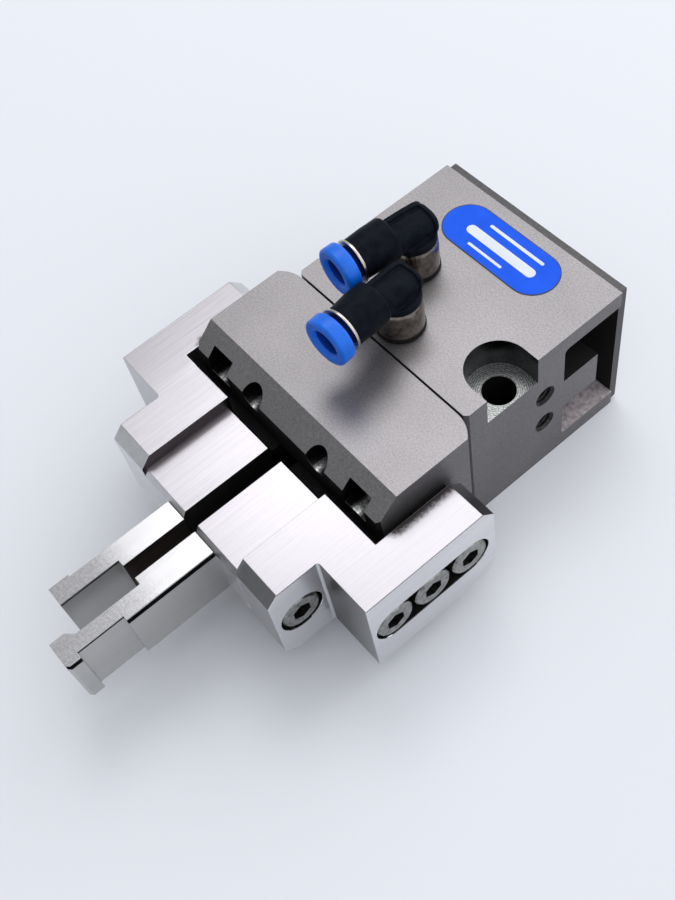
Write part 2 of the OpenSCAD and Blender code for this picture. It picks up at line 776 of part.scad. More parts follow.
module base_jaw(side) {
    neck = slot_neck_h / 2 - slide_gap;
    head = slot_head_h / 2 - slide_gap;
    color([0.55, 0.55, 0.57]) on_side(side) difference() {
        union() {
            block([base_inner, arm_back_y, mid - neck], [wing_inner, slot_back_y - slide_gap, mid + neck]);
            block([base_inner, slot_step_y + slide_gap, mid - head],
                  [wing_inner, slot_back_y - slide_gap, mid + head]);
        }
        // The inner end follows the slant of the wedge block
        slanted() block([-2 * front_w, -2 * front_len, -body_h], [slide_gap, 2 * front_len, body_h]);
        hook_rail(slide_gap);
        for (i = [1, 2]) {
            along_x(wing_inner - base_thread, first_screw_y + i * wing_screw_pitch, mid)
                cylinder(d = screw_d, h = base_thread + past);
        }
    }
}

module bracket_plan() {
    polygon([[arm_inner, arm_front_y], [arm_outer, arm_front_y], [arm_outer, crossbar_y],
             [wing_outer, crossbar_y], [wing_outer, wing_back_y], [wing_inner, wing_back_y],
             [wing_inner, arm_back_y], [arm_inner, arm_back_y]]);
    difference() {
        translate([arm_outer, crossbar_y - bracket_fillet]) square(bracket_fillet);
        translate([arm_outer + bracket_fillet, crossbar_y - bracket_fillet]) circle(bracket_fillet);
    }
}

module jaw_bracket(side) {
    low = mid - bracket_h / 2;
    high = mid + bracket_h / 2;
    last_screw_y = first_screw_y + 2 * wing_screw_pitch;
    color([0.85, 0.85, 0.87]) on_side(side) difference() {
        translate([0, 0, low]) linear_extrude(bracket_h) bracket_plan();
        for (z = [low, high]) {
            edge_cut(arm_front_y, z, arm_chamfer);
            edge_cut(wing_back_y, z, wing_chamfer);
        }
        // Long recess with three screws in the wing
        block([wing_outer - pocket_depth, first_screw_y, mid - recess_w / 2],
              [wing_outer + past, last_screw_y, mid + recess_w / 2]);
        for (i = [0, 2]) {
            along_x(wing_outer - pocket_depth, first_screw_y + i * wing_screw_pitch, mid)
                cylinder(d = recess_w, h = pocket_depth + past);
        }
        for (i = [0 : 2]) {
            along_x(arm_inner - past, first_screw_y + i * wing_screw_pitch, mid)
                cylinder(d = screw_d + 2 * screw_gap, h = wing_outer - arm_inner + past);
        }
        // Pocket and hole for the screw in the arm
        along_x(arm_outer - pocket_depth, arm_front_y + arm_screw_y, mid)
            cylinder(d = arm_pocket_d, h = pocket_depth + past);
        along_x(arm_inner - past, arm_front_y + arm_screw_y, mid)
            cylinder(d = screw_d + 2 * screw_gap, h = arm_w + past);
    }
}

module jaw_screw(x, y, length) {
    along_x(x - pocket_depth, y, mid)
        cap_screw(screw_d, length, screw_head_d, screw_head_h, socket_flats, socket_depth);
}

module wing_screws(side) {
    color([0.78, 0.76, 0.74]) on_side(side) {
        jaw_screw(wing_outer, first_screw_y, long_screw_len);
        for (i = [1, 2]) {
            jaw_screw(wing_outer, first_screw_y + i * wing_screw_pitch, wing_screw_len);
        }
    }
}

module arm_screw(side) {
    color([0.78, 0.76, 0.74]) on_side(side)
        jaw_screw(arm_outer, arm_front_y + arm_screw_y, arm_screw_len);
}

// Side view of a finger block, with chamfers on its front edges
module block_profile() {
    polygon([[arm_front_y, block_chamfer_drop], [arm_front_y + block_chamfer_run, 0], [block_back_y, 0],
             [block_back_y, block_h], [arm_front_y + block_chamfer_run, block_h],
             [arm_front_y, block_h - block_chamfer_drop]]);
}

module tenon(inner, t) {
    block([inner + tenon_inner_step, arm_front_y, mid - tenon_h / 2],
          [inner + t - tenon_outer_step, tenon_back_y, mid + tenon_h / 2]);
}

module finger_block(side, inner, t) {
    color([0.85, 0.85, 0.87]) on_side(side) difference() {
        translate([block_inner, 0, mid - block_h / 2]) rotate([90, 0, 90])
            linear_extrude(arm_inner - block_inner) block_profile();
        translate([0, -past, 0]) tenon(inner, t);
        tenon(inner, t);
        pin_row(inner, t, cross_pin_len + past, mid - block_h / 2 - past);
        along_x(wing_outer - pocket_depth - long_screw_len - stop_gap, first_screw_y, mid)
            cylinder(d = screw_d, h = wing_outer);
        along_x(arm_outer - pocket_depth - arm_screw_len - stop_gap, arm_front_y + arm_screw_y, mid)
            cylinder(d = screw_d, h = wing_outer);
    }
}

// Two upright pins through a finger's tongue
module pin_row(inner, t, h, z) {
    x = inner + (tenon_inner_step + t - tenon_outer_step) / 2;
    for (i = [-1, 1]) {
        translate([x, (arm_front_y + tenon_back_y) / 2 + i * cross_pin_pitch / 2, z])
            cylinder(d = cross_pin_d, h = h);
    }
}

module finger_pins(side, inner, t) {
    color([0.6, 0.6, 0.62]) on_side(side) pin_row(inner, t, cross_pin_len, mid - block_h / 2);
}

module right_plan(e) {
    tip = arm_front_y - right_len;
    inner = right_inner + right_relief;
    outer = right_inner + right_t - right_waist;
    polygon([[right_inner + e, arm_front_y], [right_inner + e, arm_front_y - right_pad_len + e],
             [inner + e, arm_front_y - right_pad_len + e], [inner + e, tip + right_nose_len - e],
             [inner - right_nose_in + e, tip + right_nose_len - right_nose_in - e],
             [inner - right_nose_in + e, tip + e], [outer + right_hook_out / 2 - e, tip + e],
             [outer + right_hook_out - e, tip + right_hook_out / 2 + e],
             [outer + right_hook_out - e, tip + right_hook_len - e], [outer - e, tip + right_hook_len - e],
             [outer - e, arm_front_y - right_waist_y + e],
             [right_inner + right_t - e, arm_front_y - right_waist_y + e],
             [right_inner + right_t - e, arm_front_y]]);
}

module left_plan(e) {
    tip = arm_front_y - left_len;
    inner = left_inner + left_relief;
    outer = left_inner + left_t;
    polygon([[left_inner + e, arm_front_y], [left_inner + e, arm_front_y - left_pad_len + e],
             [inner + e, arm_front_y - left_pad_len + e], [inner + e, tip + e],
             [outer + left_nose_out - e, tip + e], [outer + left_nose_out - e, tip + left_nose_len - e],
             [outer - e, tip + left_nose_len - e], [outer - e, arm_front_y]]);
}

module finger_plan(side, e) {
    if (side > 0) right_plan(e);
    else left_plan(e);
}

// The taller grooves along a finger's outer side, at its root and at its nose
module outer_grooves(side, z) {
    right = side > 0;
    tip = arm_front_y - (right ? right_len : left_len);
    waist_y = right ? arm_front_y - right_waist_y : arm_front_y - left_len + left_nose_len;
    root_x = right ? right_inner + right_t : left_inner + left_t;
    nose_x = right ? root_x - right_waist + right_hook_out : root_x + left_nose_out;
    nose_len = right ? right_hook_len : left_nose_len;
    block([root_x - groove_depth, waist_y - past / 2, z],
          [root_x + past, arm_front_y + past, z + deep_groove_h]);
    block([nose_x - groove_depth, tip - past, z],
          [nose_x + past, tip + nose_len + past / 2, z + deep_groove_h]);
}

// A finger: body, narrower groove and top plate, with a tongue at the rear
module finger(side, inner, t) {
    top = finger_z + finger_h;
    groove_z = top - cap_t - groove_h;
    color([0.8, 0.8, 0.8]) on_side(side) difference() {
        union() {
            translate([0, 0, finger_z]) linear_extrude(groove_z - finger_z) finger_plan(side, 0);
            translate([0, 0, groove_z]) linear_extrude(groove_h) finger_plan(side, groove_depth);
            translate([0, 0, groove_z + groove_h]) linear_extrude(cap_t) finger_plan(side, 0);
            tenon(inner, t);
        }
        pin_row(inner, t, cross_pin_len, mid - block_h / 2);
        outer_grooves(side, top - cap_t - deep_groove_h);
    }
}

// ---------- push-in fittings ----------

// The frame of a fitting: origin on the top face at the stem, port along -Y
module at_port(front) {
    x = front ? 0 : rear_port_x;
    y = seam_y + (front ? front_port_y : rear_port_y);
    translate([x, y, body_h]) rotate([0, 0, front ? front_turn : rear_turn]) children();
}

// Places a shape on the tube axis, at a distance from the stem, with Z towards the mouth
module on_tube_axis(l) {
    translate([0, -l, port_z]) rotate([90, 0, 0]) children();
}

module fitting_stem(front) {
    color([0.72, 0.68, 0.6]) at_port(front) difference() {
        union() {
            translate([0, 0, -port_thread_len]) cylinder(d = port_thread_d, h = port_thread_len + stem_z);
            translate([0, 0, stem_z]) cylinder(d = stem_d, h = stem_h);
            translate([0, 0, elbow_z]) cylinder(d = journal_d, h = journal_h);
        }
        translate([0, 0, -port_thread_len - past])
            cylinder(d = air_d, h = port_thread_len + elbow_z + journal_h + 2 * past);
    }
}

module stem_seal(front) {
    color([0.1, 0.1, 0.1]) at_port(front) ring(ring_d, port_thread_d, ring_h);
}

module elbow_head() {
    corner = head_w / 5;
    hull() {
        translate([0, 0, elbow_z]) cylinder(d = stem_d - stop_gap, h = port_rise / 3, $fn = 32);
        for (sx = [-1, 1]) {
            translate([sx * (head_w / 2 - corner), head_back - corner, elbow_z + port_rise / 2])
                cylinder(r = corner, h = port_rise / 2 + head_rise - head_slope, $fn = 32);
        }
        translate([-head_w / 2, -head_front, port_z - head_w / 4])
            cube([head_w, head_w / 8, head_w / 4 + head_rise]);
    }
}

module elbow(front) {
    color([0.07, 0.07, 0.08]) at_port(front) difference() {
        union() {
            elbow_head();
            on_tube_axis(head_front) cylinder(d = barrel_d, h = barrel_end - mouth_taper - head_front);
            on_tube_axis(barrel_end - mouth_taper) cylinder(d1 = barrel_d, d2 = mouth_d, h = mouth_taper);
        }
        translate([0, 0, elbow_z - past])
            cylinder(d = journal_d + 2 * run_gap, h = journal_h + past + stop_gap);
        translate([0, 0, elbow_z]) cylinder(d = air_d, h = port_rise);
        on_tube_axis(0) cylinder(d = air_d, h = barrel_end);
        on_tube_axis(seal_l - tube_seat_len) cylinder(d = tube_bore_d, h = barrel_end);
        on_tube_axis(seal_l) cylinder(d = cartridge_d, h = cartridge_len + past);
    }
}

module tube_seal(front) {
    color([0.08, 0.08, 0.08]) at_port(front) on_tube_axis(seal_l) ring(cartridge_d, tube_bore_d, tube_seal_w);
}

module tube_claw(front) {
    color([0.7, 0.7, 0.7]) at_port(front) on_tube_axis(claw_l) ring(cartridge_d, tube_bore_d, claw_t);
}

// Rim outside the barrel's mouth, with a sleeve that holds the claw down
module clamp_ring(front) {
    color([0.8, 0.75, 0.62]) at_port(front) {
        on_tube_axis(barrel_end - clamp_depth) ring(cartridge_d, clamp_bore_d, clamp_depth);
        on_tube_axis(barrel_end) ring(clamp_d, clamp_bore_d, clamp_t);
    }
}

module release_collar(front) {
    sleeve_end = claw_l + claw_t + stop_gap / 2 + collar_travel;
    color([0.08, 0.3, 0.95]) at_port(front) difference() {
        union() {
            on_tube_axis(sleeve_end) cylinder(d = sleeve_d, h = collar_l - sleeve_end + collar_t);
            on_tube_axis(collar_l) cylinder(d = collar_d, h = collar_t);
        }
        on_tube_axis(sleeve_end - past) cylinder(d = tube_bore_d, h = barrel_end);
    }
}

// ---------- label ----------

module label() {
    half = (label_len - label_w) / 2;
    color([0.1, 0.3, 0.95]) translate([0, rear_y - label_y, body_h]) {
        for (sx = [-1, 1]) {
            translate([sx * half, 0, 0]) cylinder(d = label_w, h = label_t);
        }
        translate([-half, -label_w / 2, 0]) cube([2 * half, label_w, label_t]);
    }
}

rear_housing();
front_housing();
rear_cover();
cover_screws();
housing_screws();
guide_pins();
housing_gasket();
rod_bush();
rod_seal();
piston_bumper();
piston();
piston_seal();
piston_magnet();
wedge_block();
wedge_screw();
base_jaw(-1);  // base_jaw_left
base_jaw(1);  // base_jaw_right
jaw_bracket(-1);  // jaw_bracket_left
jaw_bracket(1);  // jaw_bracket_right
wing_screws(-1);  // wing_screws_left
wing_screws(1);  // wing_screws_right
arm_screw(-1);  // arm_screw_left
arm_screw(1);  // arm_screw_right
finger_block(-1, left_inner, left_t);  // finger_block_left
finger_block(1, right_inner, right_t);  // finger_block_right
finger(-1, left_inner, left_t);  // finger_left
finger(1, right_inner, right_t);  // finger_right
finger_pins(-1, left_inner, left_t);  // finger_pins_left
finger_pins(1, right_inner, right_t);  // finger_pins_right
fitting_stem(true);  // fitting_stem_front
fitting_stem(false);  // fitting_stem_rear
stem_seal(true);  // stem_seal_front
stem_seal(false);  // stem_seal_rear
elbow(true);  // elbow_front
elbow(false);  // elbow_rear
clamp_ring(true);  // clamp_ring_front
clamp_ring(false);  // clamp_ring_rear
release_collar(true);  // release_collar_front
release_collar(false);  // release_collar_rear
tube_claw(true);  // tube_claw_front
tube_claw(false);  // tube_claw_rear
tube_seal(true);  // tube_seal_front
tube_seal(false);  // tube_seal_rear
label();
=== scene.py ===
# %% [markdown]
# # A small pneumatic gripper
# The real object is a fist-sized gripper: two grey, blasted housings, two bare aluminium
# jaws that wrap round them, slim steel fingers and two black air fittings. The exact shapes
# come in as a frame of separate parts. This lesson gives them edges, finishes and light.

# %% Load the frame
import json
import math

import bmesh
import bpy
from mathutils import Matrix, Vector


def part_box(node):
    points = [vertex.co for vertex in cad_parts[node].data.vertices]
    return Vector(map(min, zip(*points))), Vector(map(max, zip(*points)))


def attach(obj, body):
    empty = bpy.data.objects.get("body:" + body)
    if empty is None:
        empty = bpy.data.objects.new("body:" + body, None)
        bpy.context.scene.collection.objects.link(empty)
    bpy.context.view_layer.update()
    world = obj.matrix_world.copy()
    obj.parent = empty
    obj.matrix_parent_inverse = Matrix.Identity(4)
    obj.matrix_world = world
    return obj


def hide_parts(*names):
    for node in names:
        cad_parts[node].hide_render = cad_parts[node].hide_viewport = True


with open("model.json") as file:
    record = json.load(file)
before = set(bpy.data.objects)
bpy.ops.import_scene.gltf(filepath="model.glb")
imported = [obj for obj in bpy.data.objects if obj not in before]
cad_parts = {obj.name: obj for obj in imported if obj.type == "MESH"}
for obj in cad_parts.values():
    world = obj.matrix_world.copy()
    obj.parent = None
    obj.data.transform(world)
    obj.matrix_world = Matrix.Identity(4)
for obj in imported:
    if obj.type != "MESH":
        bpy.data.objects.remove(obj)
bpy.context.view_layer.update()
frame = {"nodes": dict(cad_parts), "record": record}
nodes = frame["nodes"]
MM = 0.001
print("parts in the frame:", len(nodes))

# %% [markdown]
# ## Camera
# The view looks down on the gripper from the right of its fingers, with the camera rolled
# a little, so that the object lies across the picture. A camera in Blender looks along its
# own -Z, so its three axes are written straight into a matrix.

# %% Camera
CAMERA_AZIMUTH = math.radians(62.42)
CAMERA_ELEVATION = math.radians(57.41)
CAMERA_ROLL = math.radians(-14.23)
CAMERA_PLACE = Vector((92.83, -69.36, 174.91)) * MM
CAMERA_LENS = 47.12


def new_object(name, data):
    made = bpy.data.objects.new(name, data)
    bpy.context.scene.collection.objects.link(made)
    return made


def turned_camera(azimuth, elevation, roll, place):
    back = Vector((math.sin(azimuth) * math.cos(elevation),
                   -math.cos(azimuth) * math.cos(elevation),
                   math.sin(elevation)))
    right = Vector((0, 0, 1)).cross(back).normalized()
    up = back.cross(right)
    rolled_right = right * math.cos(roll) + up * math.sin(roll)
    rolled_up = up * math.cos(roll) - right * math.sin(roll)
    columns = Matrix((rolled_right, rolled_up, back)).transposed()
    return Matrix.Translation(place) @ columns.to_4x4()


camera = new_object("camera", bpy.data.cameras.new("camera"))
camera.matrix_world = turned_camera(CAMERA_AZIMUTH, CAMERA_ELEVATION, CAMERA_ROLL, CAMERA_PLACE)
camera.data.lens = CAMERA_LENS
camera.data.sensor_width = 36
camera.data.clip_start = 0.01
bpy.context.scene.camera = camera
bpy.context.scene.view_settings.view_transform = "Standard"
print("camera at", [round(c, 4) for c in camera.location])

# %% [markdown]
# ## Floor and lamps
# A wide, flat, pale floor takes soft shadows and gives the metal something bright to reflect.
# One large soft lamp stands behind, so the top faces catch its reflection and the sides stay
# darker, as on a product table by a window. A smaller one hangs above, to the left.
#
# Every finish in this lesson is a tree of nodes. Two helpers keep the trees short: one gives
# the inputs of a node their values or links, and one adds a node with its inputs in one call.

# %% Helpers for node trees


def feed(node, inputs):
    """Gives each named input its value, or links it to the socket that stands for a value."""
    for name, value in inputs.items():
        if isinstance(value, bpy.types.NodeSocket):
            node.id_data.links.new(value, node.inputs[name])
        else:
            node.inputs[name].default_value = value


def add_node(tree, kind, inputs=None, **settings):
    node = tree.nodes.new(kind)
    for name, value in settings.items():
        setattr(node, name, value)
    feed(node, inputs or {})
    return node


def new_material(name):
    material = bpy.data.materials.new(name)
    material.use_nodes = True
    tree = material.node_tree
    return material, tree, tree.nodes["Principled BSDF"]


# %% Floor
FLOOR_COLOUR = (0.665, 0.68, 0.715, 1)
FLOOR_HALF = 1.5


def make_floor(half):
    mesh = bpy.data.meshes.new("floor")
    corners = [(-half, -half, 0), (half, -half, 0), (half, half, 0), (-half, half, 0)]
    mesh.from_pydata(corners, [], [(0, 1, 2, 3)])
    material, _, shader = new_material("paper floor")
    feed(shader, {"Base Color": FLOOR_COLOUR, "Roughness": 0.7})
    mesh.materials.append(material)
    floor = new_object("floor", mesh)


make_floor(FLOOR_HALF)
print("floor width in m:", 2 * FLOOR_HALF)

# %% Lamps
AIM = Vector((0.0, -0.015, 0.015))


def soft_lamp(name, direction, distance, size, watts, colour=(1, 1, 1)):
    data = bpy.data.lights.new(name, "AREA")
    data.shape = "DISK"
    data.size = size
    data.energy = watts
    data.color = colour
    away = Vector(direction).normalized()
    turn = away.to_track_quat("Z", "Y").to_matrix().to_4x4()
    new_object(name, data).matrix_world = Matrix.Translation(AIM + away * distance) @ turn


soft_lamp("window behind", (-0.05, 0.85, 0.52), 0.9, 0.9, 2.1, (1.0, 0.99, 0.985))
soft_lamp("overhead card", (-0.39, 0.27, 0.88), 0.9, 0.4, 1.4)
print("lamps:", [lamp.name for lamp in bpy.data.lights])

# %% [markdown]
# ## A room with a bright side and a dark side
# Bare metal shows the room. Faces that look up and left should see a middling wall, and
# bevels that look forwards a dark one, while most of the light comes from behind and from
# the right. So the world's brightness depends on how far a ray points towards that bright
# side. Below the horizon and a little above it, the room fades to a pale paper like the
# floor's. The direction of a world ray is the Generated coordinate.

# %% Ramps and fades


def ramp(tree, factor, *stops):
    """Turns a factor into a colour. Each stop is (place, colour)."""
    node = add_node(tree, "ShaderNodeValToRGB", {"Fac": factor})
    points = node.color_ramp.elements
    for spare, (place, colour) in enumerate(stops):
        point = points[spare] if spare < 2 else points.new(place)
        point.position = place
        point.color = (*colour, 1)
    return node.outputs["Color"]


def remap(tree, value, low, high, start=0.0, end=1.0):
    """Turns the range from start to end into low to high, clamped outside."""
    node = add_node(tree, "ShaderNodeMapRange", {
        "Value": value, "From Min": start, "From Max": end, "To Min": low, "To Max": high})
    return node.outputs["Result"]


def fade(tree, value, start, end):
    """1 at the start, 0 at the end, and clamped outside."""
    return remap(tree, value, 1.0, 0.0, start, end)


# %% Sky
BRIGHT_SIDE = Vector((0.45, 0.62, 0.5)).normalized()
SKY_STRENGTH = 1.5
SKY_TONES = ((0.18, 0.36), (0.5, 0.38), (0.92, 1.0))
SKY_TINT = (0.95, 0.965, 1.0)
PAPER = (0.69, 0.715, 0.775, 1)
# The paper fades out between these two heights of a ray's direction, where 1 is straight up.
PAPER_FADE = (0.06, 0.2)


def make_sky():
    world = bpy.data.worlds.new("room")
    bpy.context.scene.world = world
    world.use_nodes = True
    tree = world.node_tree
    direction = add_node(tree, "ShaderNodeTexCoord").outputs["Generated"]
    towards = add_node(tree, "ShaderNodeVectorMath", {0: direction, 1: BRIGHT_SIDE},
                       operation="DOT_PRODUCT")
    half = remap(tree, towards.outputs["Value"], 0.0, 1.0, -1.0, 1.0)
    stops = [(place, [tint * tone for tint in SKY_TINT]) for place, tone in SKY_TONES]
    room = tree.nodes["Background"]
    feed(room, {"Color": ramp(tree, half, *stops), "Strength": SKY_STRENGTH})
    paper = add_node(tree, "ShaderNodeBackground", {"Color": PAPER})
    parts = add_node(tree, "ShaderNodeSeparateXYZ", {"Vector": direction})
    low_down = fade(tree, parts.outputs["Z"], *PAPER_FADE)
    seen = add_node(tree, "ShaderNodeMixShader", {0: low_down, 1: room.outputs[0], 2: paper.outputs[0]})
    feed(tree.nodes["World Output"], {"Surface": seen.outputs[0]})


make_sky()
print("sky tones:", SKY_TONES)

# %% [markdown]
# ## Procedural finishes
# Every finish is a small node tree that reads Object coordinates, so its grain has a real
# size in metres. The helpers make the usual links: a noise texture that can be stretched
# along an axis, a bump, one colour multiplied by another, and plain arithmetic.

# %% Helpers for finishes


def grey(level):
    return (level, level, level)


def noise(tree, scale, stretch=(1, 1, 1), detail=3.0, roughness=0.55):
    """Noise on Object coordinates. A stretch under 1 draws the grain out along that axis."""
    where = add_node(tree, "ShaderNodeTexCoord").outputs["Object"]
    mapping = add_node(tree, "ShaderNodeMapping", {"Vector": where, "Scale": stretch})
    texture = add_node(tree, "ShaderNodeTexNoise", {
        "Vector": mapping.outputs["Vector"], "Scale": scale, "Detail": detail, "Roughness": roughness})
    return texture.outputs["Fac"]


def bump(tree, height, strength, distance):
    node = add_node(tree, "ShaderNodeBump", {"Height": height, "Strength": strength, "Distance": distance})
    return node.outputs["Normal"]


def mixed(tree, first, second, factor=1.0):
    """The first colour, multiplied by the second as far as the factor says."""
    node = add_node(tree, "ShaderNodeMix", {"Factor": factor, "A": first, "B": second},
                    data_type="RGBA", blend_type="MULTIPLY")
    return node.outputs["Result"]


# %% Arithmetic nodes


def maths(tree, operation, first, second=0.0):
    return add_node(tree, "ShaderNodeMath", {0: first, 1: second}, operation=operation).outputs["Value"]


def coordinates(tree):
    where = add_node(tree, "ShaderNodeTexCoord").outputs["Object"]
    parts = add_node(tree, "ShaderNodeSeparateXYZ", {"Vector": where})
    return parts.outputs["X"], parts.outputs["Y"], parts.outputs["Z"]


def distance_from(tree, coordinate, place):
    """How far the coordinate is from the nearer of a place and its mirror image."""
    return maths(tree, "ABSOLUTE", maths(tree, "SUBTRACT", maths(tree, "ABSOLUTE", coordinate), place))


SPAN = 160 * MM


def levels(tree, axis, *stops):
    """Painted light and shade: grey levels along X or Y. Each stop is a place in mm and a level from 0 to 1.
    """
    value = coordinates(tree)["XY".index(axis)]
    spot = maths(tree, "ADD", maths(tree, "DIVIDE", value, SPAN), 0.5)
    return ramp(tree, spot, *((place * MM / SPAN + 0.5, grey(level)) for place, level in stops))


# %% [markdown]
# ## Blasted, hard-anodised aluminium
# The housings were bead-blasted and then anodised to a warm grey. Close up the skin is a fine
# speckle of bright and dark grains, with faint cloudy patches. Two noises at two scales do
# that, and the fine one also drives a shallow bump.

# %% Blasted grey


def blasted(name, dark, light, rough=(0.38, 0.52)):
    material, tree, shader = new_material(name)
    grain = noise(tree, 3200, detail=4.0, roughness=0.7)
    tone = ramp(tree, grain, (0.3, dark), (0.7, light))
    patches = ramp(tree, noise(tree, 90), (0.25, grey(0.86)), (0.75, grey(1)))
    feed(shader, {"Base Color": mixed(tree, tone, patches), "Roughness": remap(tree, grain, *rough),
                  "Metallic": 0.9, "Normal": bump(tree, grain, 0.35, 0.00006)})
    return material


HOUSING_GREY = blasted("blasted grey", (0.128, 0.122, 0.126), (0.23, 0.22, 0.226))
# The top and the front bevel are copies of the side grey, painted lighter: painted light where the light
# falls.
HOUSING_TOP_PAINTED_LIGHT = blasted("blasted top, painted light", (0.198, 0.188, 0.194), (0.353, 0.336, 0.344), (0.34, 0.48))
HOUSING_BEVEL_PAINTED_LIGHT = blasted("blasted bevel, painted light", (0.16, 0.155, 0.156), (0.29, 0.28, 0.282))
COVER_GREY = blasted("dark cover grey", (0.06, 0.058, 0.06), (0.11, 0.107, 0.11))
print("blasted finishes:", [m.name for m in (HOUSING_GREY, HOUSING_TOP_PAINTED_LIGHT, HOUSING_BEVEL_PAINTED_LIGHT, COVER_GREY)])

# %% [markdown]
# ## Milled aluminium and ground steel
# The jaws are bare metal with fine lines along the fingers, left by the mill. Noise squeezed
# across and drawn out along Y gives lines about a tenth of a millimetre wide, of uneven
# brightness, and roughness that varies with them.

# %% Metal with lines
ALONG_Y = (1, 0.02, 1)
PATCHES_ALONG_Y = (1, 0.12, 1)


def lined_metal(name, dark, light, line_scale, rough, lift=0.0):
    """Bare metal with mill lines along Y."""
    material, tree, shader = new_material(name)
    lines = noise(tree, line_scale, stretch=ALONG_Y, detail=5.0, roughness=0.65)
    patches = noise(tree, 120, stretch=PATCHES_ALONG_Y, detail=2.0)
    tone = ramp(tree, lines, (0.3, dark), (0.68, light))
    shade = ramp(tree, patches, (0.3, (0.88, 0.88, 0.89)), (0.7, grey(1)))
    feed(shader, {"Base Color": mixed(tree, tone, shade, 0.8), "Roughness": remap(tree, lines, *rough),
                  "Metallic": 1.0, "Normal": bump(tree, lines, lift, 0.00002)})
    return material


JAW_METAL = lined_metal("milled aluminium", (0.72, 0.715, 0.73), (0.78, 0.775, 0.79),
                        1600, (0.26, 0.30), 0.01)
JAW_WALL = lined_metal("shaded wall", (0.02, 0.016, 0.017), (0.09, 0.073, 0.078), 1500, (0.3, 0.5), 0.3)
# Painted reflection: the outer chamfer of a jaw's top is dark, like the room it faces.
JAW_EDGE_PAINTED_REFLECTION = lined_metal("edge, painted reflection", (0.05, 0.05, 0.055), (0.16, 0.16, 0.17), 900, (0.3, 0.45))
FINGER_METAL = lined_metal("ground steel", (0.50, 0.497, 0.485), (0.53, 0.527, 0.515), 1200, (0.28, 0.32))
FINGER_SHADE = lined_metal("shaded steel", (0.085, 0.058, 0.05), (0.16, 0.115, 0.10), 1500, (0.3, 0.45))
print("jaw metal:", JAW_METAL.name)

# %% Ground finger tops
TIP_WEAR = (-62 * MM, -57 * MM)


def ground_top(name, *stops):
    """Ground along the finger, with a painted highlight in grey levels along it, and mottled towards its
    worn tip.
    """
    material, tree, shader = new_material(name)
    lines = noise(tree, 2200, stretch=ALONG_Y, detail=5.0, roughness=0.65)
    tone = ramp(tree, lines, (0.3, (0.69, 0.68, 0.69)), (0.68, (0.75, 0.74, 0.75)))
    tone = mixed(tree, tone, levels(tree, "Y", *stops))
    mottle = noise(tree, 2000, detail=5.0, roughness=0.75)
    spots = ramp(tree, mottle, (0.38, (0.74, 0.75, 0.77)), (0.6, grey(1)))
    worn = fade(tree, coordinates(tree)[1], *TIP_WEAR)
    feed(shader, {"Base Color": mixed(tree, tone, spots, worn), "Roughness": remap(tree, lines, 0.25, 0.28),
                  "Metallic": 1.0})
    return material


# Painted highlight: grey levels along Y on each finger top, standing in for the lamp's reflection.
FINGER_TOPS_PAINTED_HIGHLIGHT = {
    "left": ground_top("ground top, left, painted highlight", (-64, 0.62), (-58, 0.93), (-46, 0.86)),
    "right": ground_top("ground top, right, painted highlight", (-66, 0.66), (-58, 0.88), (-50, 0.73), (-46, 0.60)),
}
print("finger tops:", sorted(FINGER_TOPS_PAINTED_HIGHLIGHT))

# %% [markdown]
# ## Plain finishes
# The milled ends and chamfers, the plating, the plastics, the rubber and the label are all
# smooth, with a faint mottle. They differ in colour, gloss and the size of the mottle, so one
# function makes them all. A wide bare face mirrors the room from a bright end to a dark one,
# so a finish may be given a few grey levels along X or Y: a painted reflection. Slots and
# recesses get near-black finishes of their own: painted shade.

# %% Milled ends and chamfers


def smooth_finish(name, dark, light, rough, scale=900, metallic=1.0, lift=0.1, gloss=0.5, shades=None):
    """A smooth finish with a faint mottle, with painted light and shade along X or Y where shades are given.
    """
    material, tree, shader = new_material(name)
    mottle = noise(tree, scale, detail=4.0)
    tone = ramp(tree, mottle, (0.3, dark), (0.7, light))
    if shades:
        tone = mixed(tree, tone, levels(tree, *shades))
    feed(shader, {"Base Color": tone, "Roughness": remap(tree, mottle, *rough), "Metallic": metallic,
                  "Specular IOR Level": gloss, "Normal": bump(tree, mottle, lift, 0.00003)})
    return material


# Painted reflection and shade: darker copies of the bare jaw metal, with grey levels along X for the room
# they mirror.
JAW_END_PAINTED_REFLECTION = smooth_finish("milled end", (0.71, 0.715, 0.73), (0.78, 0.785, 0.80), (0.46, 0.52), metallic=0.45,
                        lift=0.02, shades=("X", (-12, 1.0), (12, 0.5), (24, 0.45)))
JAW_CHAMFER_PAINTED_SHADE = smooth_finish("milled chamfer, painted shade", (0.50, 0.505, 0.51), (0.58, 0.585, 0.59), (0.3, 0.4),
                            lift=0.02, shades=("X", (-12, 1.0), (-9, 0.9), (9, 0.95), (13, 0.32)))
JAW_SHOULDER_PAINTED_SHADE = smooth_finish("milled shoulder, painted shade", (0.50, 0.505, 0.51), (0.56, 0.565, 0.57), (0.3, 0.36),
                             lift=0.02, shades=("X", (-12, 0.9), (12, 0.2), (24, 0.24), (31, 0.62)))
REAR_CHAMFER_PAINTED_SHADE = smooth_finish("rear chamfer, painted shade", (0.56, 0.56, 0.57), (0.64, 0.64, 0.65), (0.3, 0.4),
                             lift=0.02, shades=("X", (-12, 0.95), (16, 0.85), (23, 0.45), (28, 0.12)))
print("jaw end and chamfers:", JAW_END_PAINTED_REFLECTION.name, JAW_CHAMFER_PAINTED_SHADE.name, REAR_CHAMFER_PAINTED_SHADE.name)

